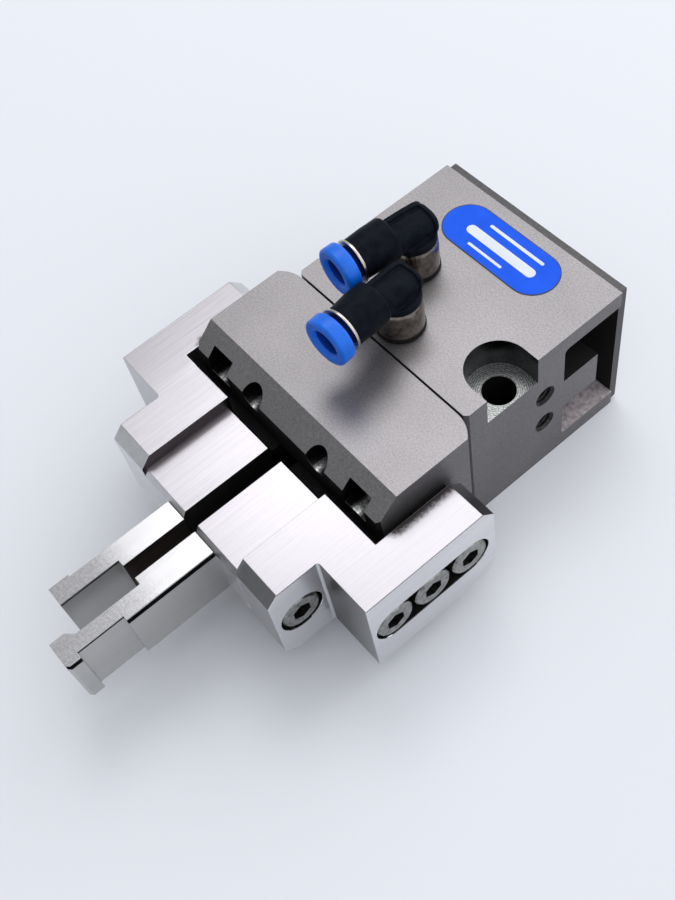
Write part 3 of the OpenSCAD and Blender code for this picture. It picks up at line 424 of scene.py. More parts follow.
# %% Plated, cut and cast metals
NICKEL = smooth_finish("satin nickel", (0.10, 0.086, 0.075), (0.26, 0.23, 0.20), (0.16, 0.3))
BRIGHT_RING = smooth_finish("bright ring", (0.42, 0.38, 0.34), (0.62, 0.57, 0.51), (0.2, 0.3))
SCREW_NICKEL = smooth_finish("nickel screw", (0.13, 0.13, 0.126), (0.36, 0.36, 0.35), (0.22, 0.4),
                             1500, lift=0.25)
TOOL_STEEL = smooth_finish("tool steel", (0.30, 0.30, 0.31), (0.45, 0.45, 0.46), (0.3, 0.45))
BRONZE = smooth_finish("bronze", (0.50, 0.34, 0.15), (0.62, 0.44, 0.22), (0.35, 0.5))
# Near-black: painted shade on the walls of the screw pockets.
DRILLED_WALL_PAINTED_SHADE = smooth_finish("drilled wall, painted shade", (0.045, 0.045, 0.047), (0.085, 0.086, 0.088), (0.16, 0.26),
                             500, lift=0.02)
# Near-black: painted shade inside the threaded holes and the screw sockets.
THREAD_PAINTED_SHADE = smooth_finish("cut thread, painted shade", grey(0.008), grey(0.05), (0.3, 0.5), 1200, 0.8)
print("screw metal:", SCREW_NICKEL.name)

# %% Plastics, rubber and the label
BLACK_PLASTIC = smooth_finish("black plastic", (0.003, 0.004, 0.007), (0.007, 0.009, 0.014), (0.34, 0.48),
                              700, 0.0, 0.12, 0.03)
BLUE_PLASTIC = smooth_finish("blue plastic", (0.002, 0.105, 0.58), (0.003, 0.14, 0.70), (0.32, 0.44),
                             500, 0.0, 0.08, 0.3)
BLUE_SHADE = smooth_finish("shaded blue", (0.001, 0.008, 0.06), (0.001, 0.012, 0.09), (0.4, 0.5),
                           500, 0.0, 0.08, 0.1)
# Painted shade: the collar's bore is a darker copy of the blue.
BLUE_BORE_PAINTED_SHADE = smooth_finish("blue bore, painted shade", (0.001, 0.03, 0.24), (0.001, 0.04, 0.32), (0.4, 0.5),
                          500, 0.0, 0.08, 0.1)
RUBBER = smooth_finish("black rubber", grey(0.003), (0.009, 0.008, 0.007), (0.5, 0.7), 1500, 0.0, 0.1, 0.12)
LABEL_BLUE = smooth_finish("label film", (0.004, 0.078, 0.66), (0.006, 0.098, 0.76), (0.34, 0.42),
                           300, 0.0, 0.02, 0.1)
LABEL_WHITE = smooth_finish("label white", (0.62, 0.66, 0.74), (0.70, 0.73, 0.80), (0.35, 0.42),
                            300, 0.0, 0.02, 0.1)
LABEL_LINE = smooth_finish("label outline", (0.03, 0.03, 0.05), (0.05, 0.05, 0.08), (0.4, 0.5),
                           300, 0.0, 0.02, 0.2)
print("label finishes:", LABEL_BLUE.name, LABEL_WHITE.name, LABEL_LINE.name)

# %% Dark places in painted shade
# Painted shade: near-black where slots, holes, grooves, the seam and gaps get little light.
RECESS_PAINTED_SHADE = smooth_finish("recess, painted shade", grey(0.004), grey(0.013), (0.35, 0.6), 800, 0.3, 0.1, 0.2)
# Painted shade inside the rear window and on the cover's face behind it.
WINDOW_PAINTED_SHADE = smooth_finish("dark window", grey(0.004), grey(0.009), (0.6, 0.8), 800, 0.0, 0.1, 0.2)
# Painted shade on the nose of the front housing and on the base jaws in the gap behind the jaws.
NOSE_PAINTED_SHADE = smooth_finish("dark nose", grey(0.003), grey(0.008), (0.45, 0.65), 1400, 0.1, 0.1, 0.1)
# The window's lower floor: a mottled finish painted lighter, as the light that bounces in from outside.
WINDOW_FLOOR_PAINTED_LIGHT = smooth_finish("window floor, painted light", (0.26, 0.22, 0.23), (0.58, 0.52, 0.54), (0.5, 0.7), 1300, 0.1, 0.4)
print("dark finishes:", RECESS_PAINTED_SHADE.name, WINDOW_PAINTED_SHADE.name, NOSE_PAINTED_SHADE.name)

# %% [markdown]
# ## Finishes that depend on place
# A drill leaves rings round the screw holes. A pocket's floor gets a painted glint where light
# would fall in, and a jaw's top gets a dark, speckled band along its edge. These use plain
# arithmetic on the coordinates.

# %% Turned rings round the mounting holes
RING_PITCH = 0.34 * MM


def turned_metal(hole_x):
    material, tree, shader = new_material("turned floor")
    x, y, _ = coordinates(tree)
    across = maths(tree, "SUBTRACT", maths(tree, "ABSOLUTE", x), hole_x)
    square = maths(tree, "ADD", maths(tree, "MULTIPLY", across, across), maths(tree, "MULTIPLY", y, y))
    turns = maths(tree, "MULTIPLY", maths(tree, "SQRT", square), 2 * math.pi / RING_PITCH)
    wander = maths(tree, "MULTIPLY", noise(tree, 500), 3.0)
    rings = maths(tree, "SINE", maths(tree, "ADD", turns, wander))
    grit = noise(tree, 3800, detail=5.0, roughness=0.7)
    height = maths(tree, "ADD", maths(tree, "MULTIPLY", rings, 0.07), grit)
    tone = ramp(tree, height, (0.36, (0.05, 0.054, 0.053)), (0.5, (0.24, 0.25, 0.245)),
                (0.66, (0.50, 0.51, 0.50)))
    feed(shader, {"Base Color": tone, "Metallic": 0.8, "Roughness": 0.36,
                  "Normal": bump(tree, height, 0.5, 0.00005)})
    return material


def mount_of(name):
    return next(m for m in frame["record"]["mounts"] if m["name"] == name)


MOUNT_SPACING = mount_of("mounting_bolts")["dims"]["spacing_x_mm"] * MM
TURNED_METAL = turned_metal(MOUNT_SPACING / 2)
print("mounting holes in mm apart:", round(MOUNT_SPACING / MM, 2))

# %% Pockets with painted shade and painted glints
PIN_PITCH_Z = 21.15
TIE_HEAD_R = 1.9


def pocket_with_painted_glint(pin_x, tie_x):
    """Painted shade: near-black, with a painted glint on the floor beside the middle of each pin and each
    screw.
    """
    material, tree, shader = new_material("pocket, painted shade and glint")
    normal = add_node(tree, "ShaderNodeNewGeometry").outputs["Normal"]
    upward = add_node(tree, "ShaderNodeSeparateXYZ", {"Vector": normal}).outputs["Z"]
    x = coordinates(tree)[0]
    near_pin = fade(tree, distance_from(tree, x, pin_x), 0.5 * MM, 1.5 * MM)
    near_tie = fade(tree, distance_from(tree, x, tie_x), 0.9 * MM, 2.0 * MM)
    lit = maths(tree, "ADD", near_pin, near_tie)
    glint = maths(tree, "MULTIPLY", fade(tree, upward, 1.0, 0.8), lit)
    speckle = maths(tree, "MULTIPLY", glint, noise(tree, 2300, detail=5.0, roughness=0.75))
    tone = ramp(tree, speckle, (0.14, grey(0.008)), (0.4, (0.16, 0.163, 0.16)), (0.6, (0.62, 0.63, 0.62)))
    feed(shader, {"Base Color": tone, "Metallic": 0.85, "Roughness": 0.34})
    return material


pin_low, pin_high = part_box("guide_pins")
pin_thickness = pin_high[2] - pin_low[2] - PIN_PITCH_Z * MM
tie_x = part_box("housing_screws")[1][0] - TIE_HEAD_R * MM
POCKET_PAINTED_SHADE_AND_GLINT = pocket_with_painted_glint(pin_high[0] - pin_thickness / 2, tie_x)
print("guide pins in mm thick:", round(pin_thickness / MM, 2))

# %% The brushed top with painted reflection and a dark band along its edge
DARK_BAND_GAP = 1.2 * MM


def brushed_top_with_dark_band(name, edge_x, edge_y):
    """The brushed top, with a painted reflection along X and a dark, speckled band along the edge that faces
    the housing.
    """
    material, tree, shader = new_material(name)
    x, y, _ = coordinates(tree)
    lines = noise(tree, 2600, stretch=ALONG_Y, detail=5.0, roughness=0.65)
    tone = ramp(tree, lines, (0.3, (0.41, 0.393, 0.416)), (0.68, (0.54, 0.515, 0.545)))
    # Painted reflection: grey levels along X, lighter on the left and middle, darker to the right.
    tone = mixed(tree, tone, levels(tree, "X", (-27, 0.86), (-20, 1.0), (-8, 1.0), (8, 0.91), (15, 0.84),
                                    (20, 0.78), (28, 0.72)))
    band = fade(tree, maths(tree, "ABSOLUTE", x), edge_x, edge_x + 2.3 * MM)
    along = fade(tree, y, edge_y + 2.0 * MM, edge_y - 0.5 * MM)
    specks = noise(tree, 1500, detail=5.0, roughness=0.7)
    band_specks = maths(tree, "MULTIPLY", maths(tree, "MULTIPLY", band, along), specks)
    dark_band = ramp(tree, band_specks, (0.12, grey(1)), (0.36, (0.16, 0.15, 0.15)))
    feed(shader, {"Base Color": mixed(tree, tone, dark_band), "Roughness": remap(tree, lines, 0.26, 0.42),
                  "Metallic": 1.0, "Normal": bump(tree, lines, 0.3, 0.00002)})
    return material


nose_low, nose_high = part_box("front_housing")
JAW_TOP_PAINTED_REFLECTION = brushed_top_with_dark_band("brushed top", nose_high[0] + DARK_BAND_GAP, nose_low[1])
print("side of the front housing in mm:", round(nose_high[0] / MM, 2))

# %% The finish of each slot
FINISHES = {
    "anodised_grey": HOUSING_GREY, "anodised_dark": COVER_GREY, "milled_aluminium": JAW_METAL,
    "ground_steel": FINGER_METAL, "nickel_plate": NICKEL, "tool_steel": TOOL_STEEL,
    "hard_chrome": NICKEL, "bronze": BRONZE, "magnet": RUBBER, "black_rubber": RUBBER,
    "black_plastic": BLACK_PLASTIC, "blue_plastic": BLUE_PLASTIC, "label_blue": LABEL_BLUE,
}
slot_of = {part["node"]: part["material_slot"] for part in frame["record"]["subparts"]}
for name, node in nodes.items():
    # The base jaws sit in the dark gap behind the jaws and get painted shade, not their steel.
    in_painted_shade = name.startswith("base_jaw")
    node.data.materials.clear()
    node.data.materials.append(NOSE_PAINTED_SHADE if in_painted_shade else FINISHES[slot_of[name]])
print("slots with a finish:", len(FINISHES))

# %% [markdown]
# ## Softened edges
# A machined edge always has a tiny chamfer that catches the light. The frame's parts have
# perfectly sharp edges, so a copy of each one is merged, its flat faces are joined, and a
# Bevel modifier rounds what is sharper than 30 degrees. The copy then stands for the part.

# %% Copies that stand for parts


def body_of_node(name):
    bodies = frame["record"]["behaviour"]["bodies"]
    return next(body for body, members in bodies.items() if name in members)


def merged_copy(name):
    mesh = nodes[name].data.copy()
    work = bmesh.new()
    work.from_mesh(mesh)
    bmesh.ops.remove_doubles(work, verts=work.verts, dist=1e-6)
    bmesh.ops.dissolve_limit(work, angle_limit=math.radians(0.5), verts=work.verts, edges=work.edges)
    work.to_mesh(mesh)
    work.free()
    for attribute in [a for a in mesh.attributes if a.name in ("custom_normal", "sharp_face", "sharp_edge")]:
        mesh.attributes.remove(attribute)
    return new_object(name + "_finished", mesh)


def bake_modifiers(piece):
    """Turns a piece and its modifiers into a plain mesh."""
    graph = bpy.context.evaluated_depsgraph_get()
    mesh = bpy.data.meshes.new_from_object(piece.evaluated_get(graph))
    piece.modifiers.clear()
    piece.data = mesh


def smooth_by_angle(piece, degrees, flat_above=1.0):
    """Rounds the shading of small faces. Faces larger than flat_above, in m2, stay flat."""
    piece.data.set_sharp_from_angle(angle=math.radians(degrees))
    for face in piece.data.polygons:
        face.use_smooth = face.area < flat_above


def stand_for(piece, name):
    """The piece rides on the part's body and hides the part."""
    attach(piece, body_of_node(name))
    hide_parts(name)


# %% The softened parts
FLAT_FACE = 6 * MM * MM
EDGE_WIDTHS = {
    "rear_housing": 0.12, "front_housing": 0.15, "rear_cover": 0.18,
    "jaw_bracket_left": 0.1, "jaw_bracket_right": 0.1,
    "finger_block_left": 0.12, "finger_block_right": 0.12,
    "finger_left": 0.05, "finger_right": 0.05,
    "base_jaw_left": 0.15, "base_jaw_right": 0.15,
}


def soften(name, width):
    piece = merged_copy(name)
    bevel = piece.modifiers.new("edge", "BEVEL")
    bevel.width = width
    bevel.segments = 2
    bevel.limit_method = "ANGLE"
    bevel.angle_limit = math.radians(30)
    bevel.miter_outer = "MITER_ARC"
    bake_modifiers(piece)
    smooth_by_angle(piece, 20, FLAT_FACE)
    stand_for(piece, name)
    return piece


finished = {name: soften(name, width * MM) for name, width in EDGE_WIDTHS.items()}
print("softened:", sorted(finished))

# %% [markdown]
# ## Different finishes on one part
# A real housing isn't one finish all over: the outside is blasted, screw pockets are cut to
# bare metal afterwards, slots get painted shade inside and the top gets painted light. Each
# face of a copy gets its material by where its middle is and which way it points.

# %% Painting faces


def paint(piece, *jobs):
    """Each job is a finish and a test of a face's middle, in mm, and normal. A later job wins."""
    counts = []
    for finish, chosen in jobs:
        piece.data.materials.append(finish)
        faces = [face for face in piece.data.polygons if chosen(face.center / MM, face.normal)]
        for face in faces:
            face.material_index = len(piece.data.materials) - 1
        counts.append(len(faces))
    return counts


def box_mm(name):
    low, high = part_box(name)
    return Vector(low) / MM, Vector(high) / MM


# %% Rear housing: turned screw pockets, and painted shade in the window
MOUNT_X = MOUNT_SPACING / MM / 2
MOUNT_R = mount_of("mounting_bolts")["dims"]["hole_r_mm"]
POCKET_R = 5.25
POCKET_DEPTH = 5.9
POCKET_REACH = 9
WINDOW_REACH = 12.3
WINDOW_LOW, WINDOW_HIGH = 3, 27
FLOOR_LIMIT = 5
SEAM_LIMIT = 22
SKIN = 0.25
rear_low, rear_high = box_mm("rear_housing")


def in_mount_pocket(middle, normal):
    side = abs(middle.x)
    near = math.hypot(side - MOUNT_X, middle.y) < POCKET_R + SKIN
    open_end = side > MOUNT_X and abs(middle.y) < POCKET_R + SKIN and side < rear_high.x - 0.02
    return (near or open_end) and rear_high.z - POCKET_REACH < middle.z < rear_high.z - 0.05


def pocket_floor(middle, normal):
    return in_mount_pocket(middle, normal) and normal.z > 0.9


def in_mount_hole(middle, normal):
    off_axis = math.hypot(abs(middle.x) - MOUNT_X, middle.y)
    return off_axis < MOUNT_R + 0.02 and middle.z < rear_high.z - POCKET_DEPTH


def window_ends(middle, side_gap):
    inside = rear_low.x + side_gap < middle.x < rear_high.x - side_gap
    return inside and rear_high.y - WINDOW_REACH < middle.y < rear_high.y - 0.05


def window_floor(middle, normal):
    return window_ends(middle, 0.02) and normal.z > 0.5 and middle.z < FLOOR_LIMIT


def in_window(middle, normal):
    lower_floor = normal.z > 0.5 and middle.z < FLOOR_LIMIT
    return window_ends(middle, 0.1) and WINDOW_LOW < middle.z < WINDOW_HIGH and not lower_floor


def faces_seam(middle, normal):
    return normal.y < -0.9 and middle.y < rear_low.y + 0.05 and middle.z > SEAM_LIMIT


def housing_top(middle, normal):
    return normal.z > 0.95 and middle.z > rear_high.z - 0.05


# Painted light on the top; painted shade on the pocket walls, in the holes, the window and the seam; the
# window floor is painted light.
print("rear housing faces painted:", paint(
    finished["rear_housing"], (HOUSING_TOP_PAINTED_LIGHT, housing_top), (DRILLED_WALL_PAINTED_SHADE, in_mount_pocket),
    (TURNED_METAL, pocket_floor), (RECESS_PAINTED_SHADE, in_mount_hole), (WINDOW_PAINTED_SHADE, in_window),
    (WINDOW_FLOOR_PAINTED_LIGHT, window_floor), (RECESS_PAINTED_SHADE, faces_seam)))
print("rear cover faces painted:", paint(
    finished["rear_cover"], (WINDOW_PAINTED_SHADE, lambda middle, normal: normal.y < -0.9)))

# %% Front housing: painted shade on the nose, in the slot and in the pockets
BACK_STEP_X = 18
BEVEL_POCKET_LENGTH = 7
BEVEL_POCKET_LOW, BEVEL_POCKET_HIGH = 7, 23
front_low, front_high = box_mm("front_housing")


def on_bevel(normal):
    return normal.y < -0.3 and 0.3 < abs(normal.z) < 0.95


def in_front_cuts(middle, normal):
    at_an_end = middle.z > front_high.z - 0.1 or middle.z < front_low.z + 0.1
    outside = (abs(normal.z) > 0.98 and at_an_end
               or abs(middle.x) > front_high.x - 0.1
               or abs(middle.x) > BACK_STEP_X and normal.y > 0.05)
    return not outside and not on_bevel(normal)


def nose_face(middle, normal):
    return normal.y < -0.9 and middle.y < front_low.y + 0.05


def pocket_walls(middle, normal):
    by_a_bevel = middle.z > BEVEL_POCKET_HIGH or middle.z < BEVEL_POCKET_LOW
    near_nose = middle.y < front_low.y + BEVEL_POCKET_LENGTH
    return in_front_cuts(middle, normal) and by_a_bevel and near_nose and abs(normal.y) < 0.5


def front_bevel(middle, normal):
    return on_bevel(normal) and abs(normal.x) < 0.2


# Painted shade in the cuts, on the nose and in the pockets, with painted glints; painted light on the top
# and bevel.
print("front housing faces painted:", paint(
    finished["front_housing"], (RECESS_PAINTED_SHADE, in_front_cuts), (NOSE_PAINTED_SHADE, nose_face),
    (POCKET_PAINTED_SHADE_AND_GLINT, pocket_walls), (HOUSING_TOP_PAINTED_LIGHT, housing_top), (HOUSING_BEVEL_PAINTED_LIGHT, front_bevel)))

# %% Jaws: brushed tops, and painted shade in recesses and on inner walls
MID_HEIGHT = 15
RECESS_HALF = 3.95
WING_RECESS_DEPTH = 5
WING_START = 10
ARM_RECESS = (10.9, 16)
ARM_END = 9
SHOULDER_REACH = (1, 20)


def inward_sign(name):
    """+1 when the middle plane lies in the direction of +X from this piece."""
    return 1 if "left" in name else -1


def jaw_tests(name):
    low, high = box_mm(name)
    towards = inward_sign(name)

    def depth(middle):
        return middle.x - low.x if towards > 0 else high.x - middle.x

    def top(middle, normal):
        return normal.z > 0.95 and middle.z > high.z - 0.05

    def recess(middle, normal):
        in_wing = 0.12 < depth(middle) < WING_RECESS_DEPTH and low.y + WING_START < middle.y < high.y - 0.3
        on_arm = ARM_RECESS[0] < depth(middle) < ARM_RECESS[1] and middle.y < low.y + ARM_END
        return (in_wing or on_arm) and abs(middle.z - MID_HEIGHT) < RECESS_HALF

    def inner_wall(middle, normal):
        return normal.x * towards > 0.9 and depth(middle) > high.x - low.x - 0.05

    def edge(middle, normal):
        return normal.x * towards < -0.25 and abs(normal.z) > 0.25 and abs(normal.y) < 0.3

    def rear_chamfer(middle, normal):
        return normal.y > 0.5 and abs(normal.z) > 0.5

    def front_end(middle, normal):
        return normal.y < -0.95 and middle.y < low.y + 0.05

    def chamfer(middle, normal):
        return normal.y < -0.3 and abs(normal.z) > 0.3 and abs(normal.x) < 0.3

    def shoulder(middle, normal):
        in_reach = SHOULDER_REACH[0] < middle.y - low.y < SHOULDER_REACH[1]
        return normal.y < -0.95 and in_reach and not recess(middle, normal)

    return dict(top=top, recess=recess, inner_wall=inner_wall, edge=edge, rear_chamfer=rear_chamfer,
                front_end=front_end, chamfer=chamfer, shoulder=shoulder)


# %% The jaws' finishes
JAW_FINISHES = {
    "jaw_bracket_": {
        "top": JAW_TOP_PAINTED_REFLECTION, "recess": RECESS_PAINTED_SHADE, "inner_wall": JAW_WALL, "edge": JAW_EDGE_PAINTED_REFLECTION,
        "rear_chamfer": REAR_CHAMFER_PAINTED_SHADE, "front_end": JAW_END_PAINTED_REFLECTION, "chamfer": JAW_CHAMFER_PAINTED_SHADE,
        "shoulder": JAW_SHOULDER_PAINTED_SHADE},
    "finger_block_": {"top": JAW_TOP_PAINTED_REFLECTION, "inner_wall": RECESS_PAINTED_SHADE, "chamfer": JAW_CHAMFER_PAINTED_SHADE},
}
# Painted reflection on the tops, ends and outer edges; painted shade on the chamfers, shoulders, recesses
# and inner walls.
for side in ("left", "right"):
    for kind, finishes in JAW_FINISHES.items():
        tests = jaw_tests(kind + side)
        jobs = [(finish, tests[face]) for face, finish in finishes.items()]
        print(kind + side, "faces painted:", paint(finished[kind + side], *jobs))

# %% Fingers: ground tops, and painted shade in the grooves and the gap
GROOVE_TOP = 0.28
GROOVE_BOTTOM = 1.5


def finger_tests(name):
    low, high = box_mm(name)
    towards = inward_sign(name)
    inner = high.x if towards > 0 else low.x

    def top(middle, normal):
        return normal.z > 0.95 and middle.z > high.z - 0.05

    def groove(middle, normal):
        band = high.z - GROOVE_BOTTOM < middle.z < high.z - GROOVE_TOP
        inside_x = low.x + 0.03 < middle.x < high.x - 0.03
        return band and (abs(normal.z) > 0.5 or inside_x) and abs(normal.y) < 0.9

    def gap(middle, normal):
        root = middle.y > (low.y + high.y) / 2 - 2
        return normal.x * towards > 0.9 and abs(middle.x - inner) < 1.2 and root

    return top, groove, gap


# Painted highlight on the tops; painted shade in the grooves and in the gap.
for side in ("left", "right"):
    top, groove, gap = finger_tests("finger_" + side)
    print(side, "finger faces painted:", paint(
        finished["finger_" + side], (FINGER_TOPS_PAINTED_HIGHLIGHT[side], top), (RECESS_PAINTED_SHADE, groove), (FINGER_SHADE, gap)))

# %% [markdown]
# ## Cap screws with Geometry Nodes
# The gripper is held together by rows of cap screws that differ only in size and place. One
# tree builds a screw: a cylinder whose top is raised and drawn in for a chamfer, joined with
# its shank, with a six-sided socket cut out. A grid of points then carries the copies.

# %% The screw tree and its inputs
FLOAT = "NodeSocketFloat"
SCREW_INPUTS = {
    "Head Radius": (FLOAT, 3.5 * MM), "Head Height": (FLOAT, 4 * MM), "Chamfer": (FLOAT, 0.3 * MM),
    "Socket Radius": (FLOAT, 1.7 * MM), "Socket Depth": (FLOAT, 2.2 * MM),
    "Shank Radius": (FLOAT, 2 * MM), "Shank Length": (FLOAT, 10 * MM),
    "Columns": ("NodeSocketInt", 1), "Rows": ("NodeSocketInt", 1),
    "Width": (FLOAT, 0.0), "Height": (FLOAT, 0.0),
    "Rotation": ("NodeSocketVector", (0, 0, 0)), "Place": ("NodeSocketVector", (0, 0, 0)),
    "Head Metal": ("NodeSocketMaterial", None), "Socket Dark": ("NodeSocketMaterial", None),
}


def geometry_tree(name, inputs):
    """A geometry tree with named inputs, and each input's identifier."""
    tree = bpy.data.node_groups.new(name, "GeometryNodeTree")
    identifiers = {}
    for title, (kind, value) in inputs.items():
        socket = tree.interface.new_socket(title, in_out="INPUT", socket_type=kind)
        if value is not None:
            socket.default_value = value
        identifiers[title] = socket.identifier
    tree.interface.new_socket("Geometry", in_out="OUTPUT", socket_type="NodeSocketGeometry")
    return tree, identifiers


screw_tree, screw_sockets = geometry_tree("cap screw rows", SCREW_INPUTS)
print("inputs of the screw tree:", len(screw_sockets))

# %% One screw
# A shank hangs by just under half its length, so that it overlaps the head and the two join.
SHANK_DROP = -0.499


def raised(tree, mesh, height):
    offset = add_node(tree, "ShaderNodeCombineXYZ", {"Z": height})
    move = add_node(tree, "GeometryNodeTransform", {"Geometry": mesh, "Translation": offset.outputs[0]})
    return move.outputs[0]


def cylinder(tree, sides, radius, depth):
    return add_node(tree, "GeometryNodeMeshCylinder", {"Vertices": sides, "Radius": radius, "Depth": depth})


def chamfered_head(tree, given):
    """A head that stands on its seat, with its top ring drawn in."""
    lower = maths(tree, "SUBTRACT", given["Head Height"], given["Chamfer"])
    body = cylinder(tree, 40, given["Head Radius"], lower)
    up = add_node(tree, "ShaderNodeCombineXYZ", {"Z": given["Chamfer"]})
    grown = add_node(tree, "GeometryNodeExtrudeMesh", {
        "Mesh": body.outputs["Mesh"], "Selection": body.outputs["Top"], "Offset": up.outputs[0],
        "Offset Scale": 1.0, "Individual": False})
    inner = maths(tree, "SUBTRACT", given["Head Radius"], given["Chamfer"])
    crowned = add_node(tree, "GeometryNodeScaleElements", {
        "Geometry": grown.outputs["Mesh"], "Selection": grown.outputs["Top"],
        "Scale": maths(tree, "DIVIDE", inner, given["Head Radius"])})
    return raised(tree, crowned.outputs[0], maths(tree, "MULTIPLY", lower, 0.5))


def one_screw(tree, given):
    whole = add_node(tree, "GeometryNodeMeshBoolean", {"Mesh 2": chamfered_head(tree, given)},
                     operation="UNION")
    shank = cylinder(tree, 24, given["Shank Radius"], given["Shank Length"])
    hung = raised(tree, shank.outputs["Mesh"], maths(tree, "MULTIPLY", given["Shank Length"], SHANK_DROP))
    feed(whole, {"Mesh 2": hung})
    cutter = cylinder(tree, 6, given["Socket Radius"], maths(tree, "MULTIPLY", given["Socket Depth"], 2.0))
    lifted = raised(tree, cutter.outputs["Mesh"], given["Head Height"])
    cut = add_node(tree, "GeometryNodeMeshBoolean", {"Mesh 1": whole.outputs["Mesh"], "Mesh 2": lifted},
                   operation="DIFFERENCE")
    return cut.outputs["Mesh"]


def socket_faces(tree, given):
    """1 on the faces inside the socket, 0 elsewhere."""
    middle = add_node(tree, "GeometryNodeInputPosition").outputs[0]
    flat = add_node(tree, "ShaderNodeVectorMath", {0: middle, 1: (1, 1, 0)}, operation="MULTIPLY")
    length = add_node(tree, "ShaderNodeVectorMath", {0: flat.outputs[0]}, operation="LENGTH")
    height = add_node(tree, "ShaderNodeSeparateXYZ", {0: middle}).outputs["Z"]
    reach = maths(tree, "MULTIPLY", given["Socket Radius"], 0.995)
    near = maths(tree, "LESS_THAN", length.outputs["Value"], reach)
    below = maths(tree, "LESS_THAN", height, maths(tree, "SUBTRACT", given["Head Height"], 0.05 * MM))
    above = maths(tree, "GREATER_THAN", height, 0.0001 * MM)
    return maths(tree, "MULTIPLY", maths(tree, "MULTIPLY", near, below), above)


# %% Copies on a grid


def build_screw_tree(tree):
    """Marks the socket's faces, copies the screw over a grid and sets both materials."""
    given = tree.nodes.new("NodeGroupInput").outputs
    marked = add_node(tree, "GeometryNodeStoreNamedAttribute", {
        "Geometry": one_screw(tree, given), "Name": "in socket", "Value": socket_faces(tree, given)},
        data_type="FLOAT", domain="FACE")
    grid = add_node(tree, "GeometryNodeMeshGrid", {
        "Size X": given["Width"], "Size Y": given["Height"],
        "Vertices X": given["Columns"], "Vertices Y": given["Rows"]})
    copies = add_node(tree, "GeometryNodeInstanceOnPoints", {
        "Points": grid.outputs["Mesh"], "Instance": marked.outputs[0]})
    turned = add_node(tree, "GeometryNodeTransform", {
        "Geometry": copies.outputs[0], "Rotation": given["Rotation"], "Translation": given["Place"]})
    real = add_node(tree, "GeometryNodeRealizeInstances", {"Geometry": turned.outputs[0]})
    metal = add_node(tree, "GeometryNodeSetMaterial", {
        "Geometry": real.outputs[0], "Material": given["Head Metal"]})
    mark = add_node(tree, "GeometryNodeInputNamedAttribute", {"Name": "in socket"}, data_type="FLOAT")
    dark = add_node(tree, "GeometryNodeSetMaterial", {
        "Geometry": metal.outputs[0], "Material": given["Socket Dark"], "Selection": mark.outputs[0]})
    feed(tree.nodes.new("NodeGroupOutput"), {0: dark.outputs[0]})


build_screw_tree(screw_tree)
print("screw tree nodes:", len(screw_tree.nodes))

# %% Screws in the jaws
QUARTER = math.radians(90)
JAW_HEAD = 7.0
JAW_SEAT = 4
JAW_SCREW = dict(Head_Radius=3.4, Head_Height=4.3, Chamfer=0.3, Socket_Radius=1.72, Socket_Depth=2.0,
                 Shank_Radius=2, Shank_Length=8)


def make_screws(name, place, rotation, **sizes):
    """Runs the screw tree for one node of the frame. Sizes are in mm, counts are whole."""
    piece = new_object(name + "_finished", bpy.data.meshes.new(name))
    modifier = piece.modifiers.new("screws", "NODES")
    modifier.node_group = screw_tree
    values = {"Rotation": rotation, "Place": [c * MM for c in place],
              "Head Metal": SCREW_NICKEL, "Socket Dark": THREAD_PAINTED_SHADE}
    for title, size in sizes.items():
        title = title.replace("_", " ")
        values[title] = size if title in ("Columns", "Rows") else size * MM
    for title, value in values.items():
        modifier[screw_sockets[title]] = value
    bake_modifiers(piece)
    smooth_by_angle(piece, 25)
    stand_for(piece, name)
    print(name, "faces:", len(piece.data.polygons))


for side in ("left", "right"):
    for kind, count in (("wing_screws_", 3), ("arm_screw_", 1)):
        low, high = box_mm(kind + side)
        middle = (low + high) / 2
        outwards = -inward_sign(side)
        seat = (high.x if outwards > 0 else low.x) - outwards * JAW_SEAT
        make_screws(kind + side, (seat, middle.y, middle.z), (0, outwards * QUARTER, 0),
                    Columns=1, Rows=count, Height=high.y - low.y - JAW_HEAD, **JAW_SCREW)

# %% Screws in the housings
TIE_SCREW = dict(Head_Radius=TIE_HEAD_R, Head_Height=2, Chamfer=0.2, Socket_Radius=0.88, Socket_Depth=1,
                 Shank_Radius=1, Shank_Length=20)
COVER_SCREW = dict(Head_Radius=1.1, Head_Height=0.75, Chamfer=0.12, Socket_Radius=0.45, Socket_Depth=0.5,
                   Shank_Radius=0.8, Shank_Length=5)
for name, forwards, sizes in (("housing_screws", True, TIE_SCREW), ("cover_screws", False, COVER_SCREW)):
    low, high = box_mm(name)
    middle = (low + high) / 2
    head = 2 * sizes["Head_Radius"]
    seat = low.y + sizes["Head_Height"] if forwards else high.y - sizes["Head_Height"]
    make_screws(name, (middle.x, seat, middle.z), (QUARTER if forwards else -QUARTER, 0, 0),
                Columns=2, Rows=2, Width=high.x - low.x - head, Height=high.z - low.z - head, **sizes)

# %% [markdown]
# ## Turned pieces of the fittings
# Stems, collars, clamp rings and threads are round, so each is a closed outline of radius and
# height spun round an axis. Fine roundings in the outline give the highlights that a moulded
# collar and a plated ring have.

# %% Lathe
LATHE_STEPS = 72


def bridge(work, first, second):
    """Adds faces between two closed loops that have as many points as each other."""
    for point in range(len(first)):
        after = (point + 1) % len(first)
        work.faces.new((first[point], second[point], second[after], first[after]))


def mesh_of(work, name):
    """A mesh from a bmesh, with its faces pointing outwards."""
    bmesh.ops.recalc_face_normals(work, faces=work.faces)
    mesh = bpy.data.meshes.new(name)
    work.to_mesh(mesh)
    work.free()
    return mesh


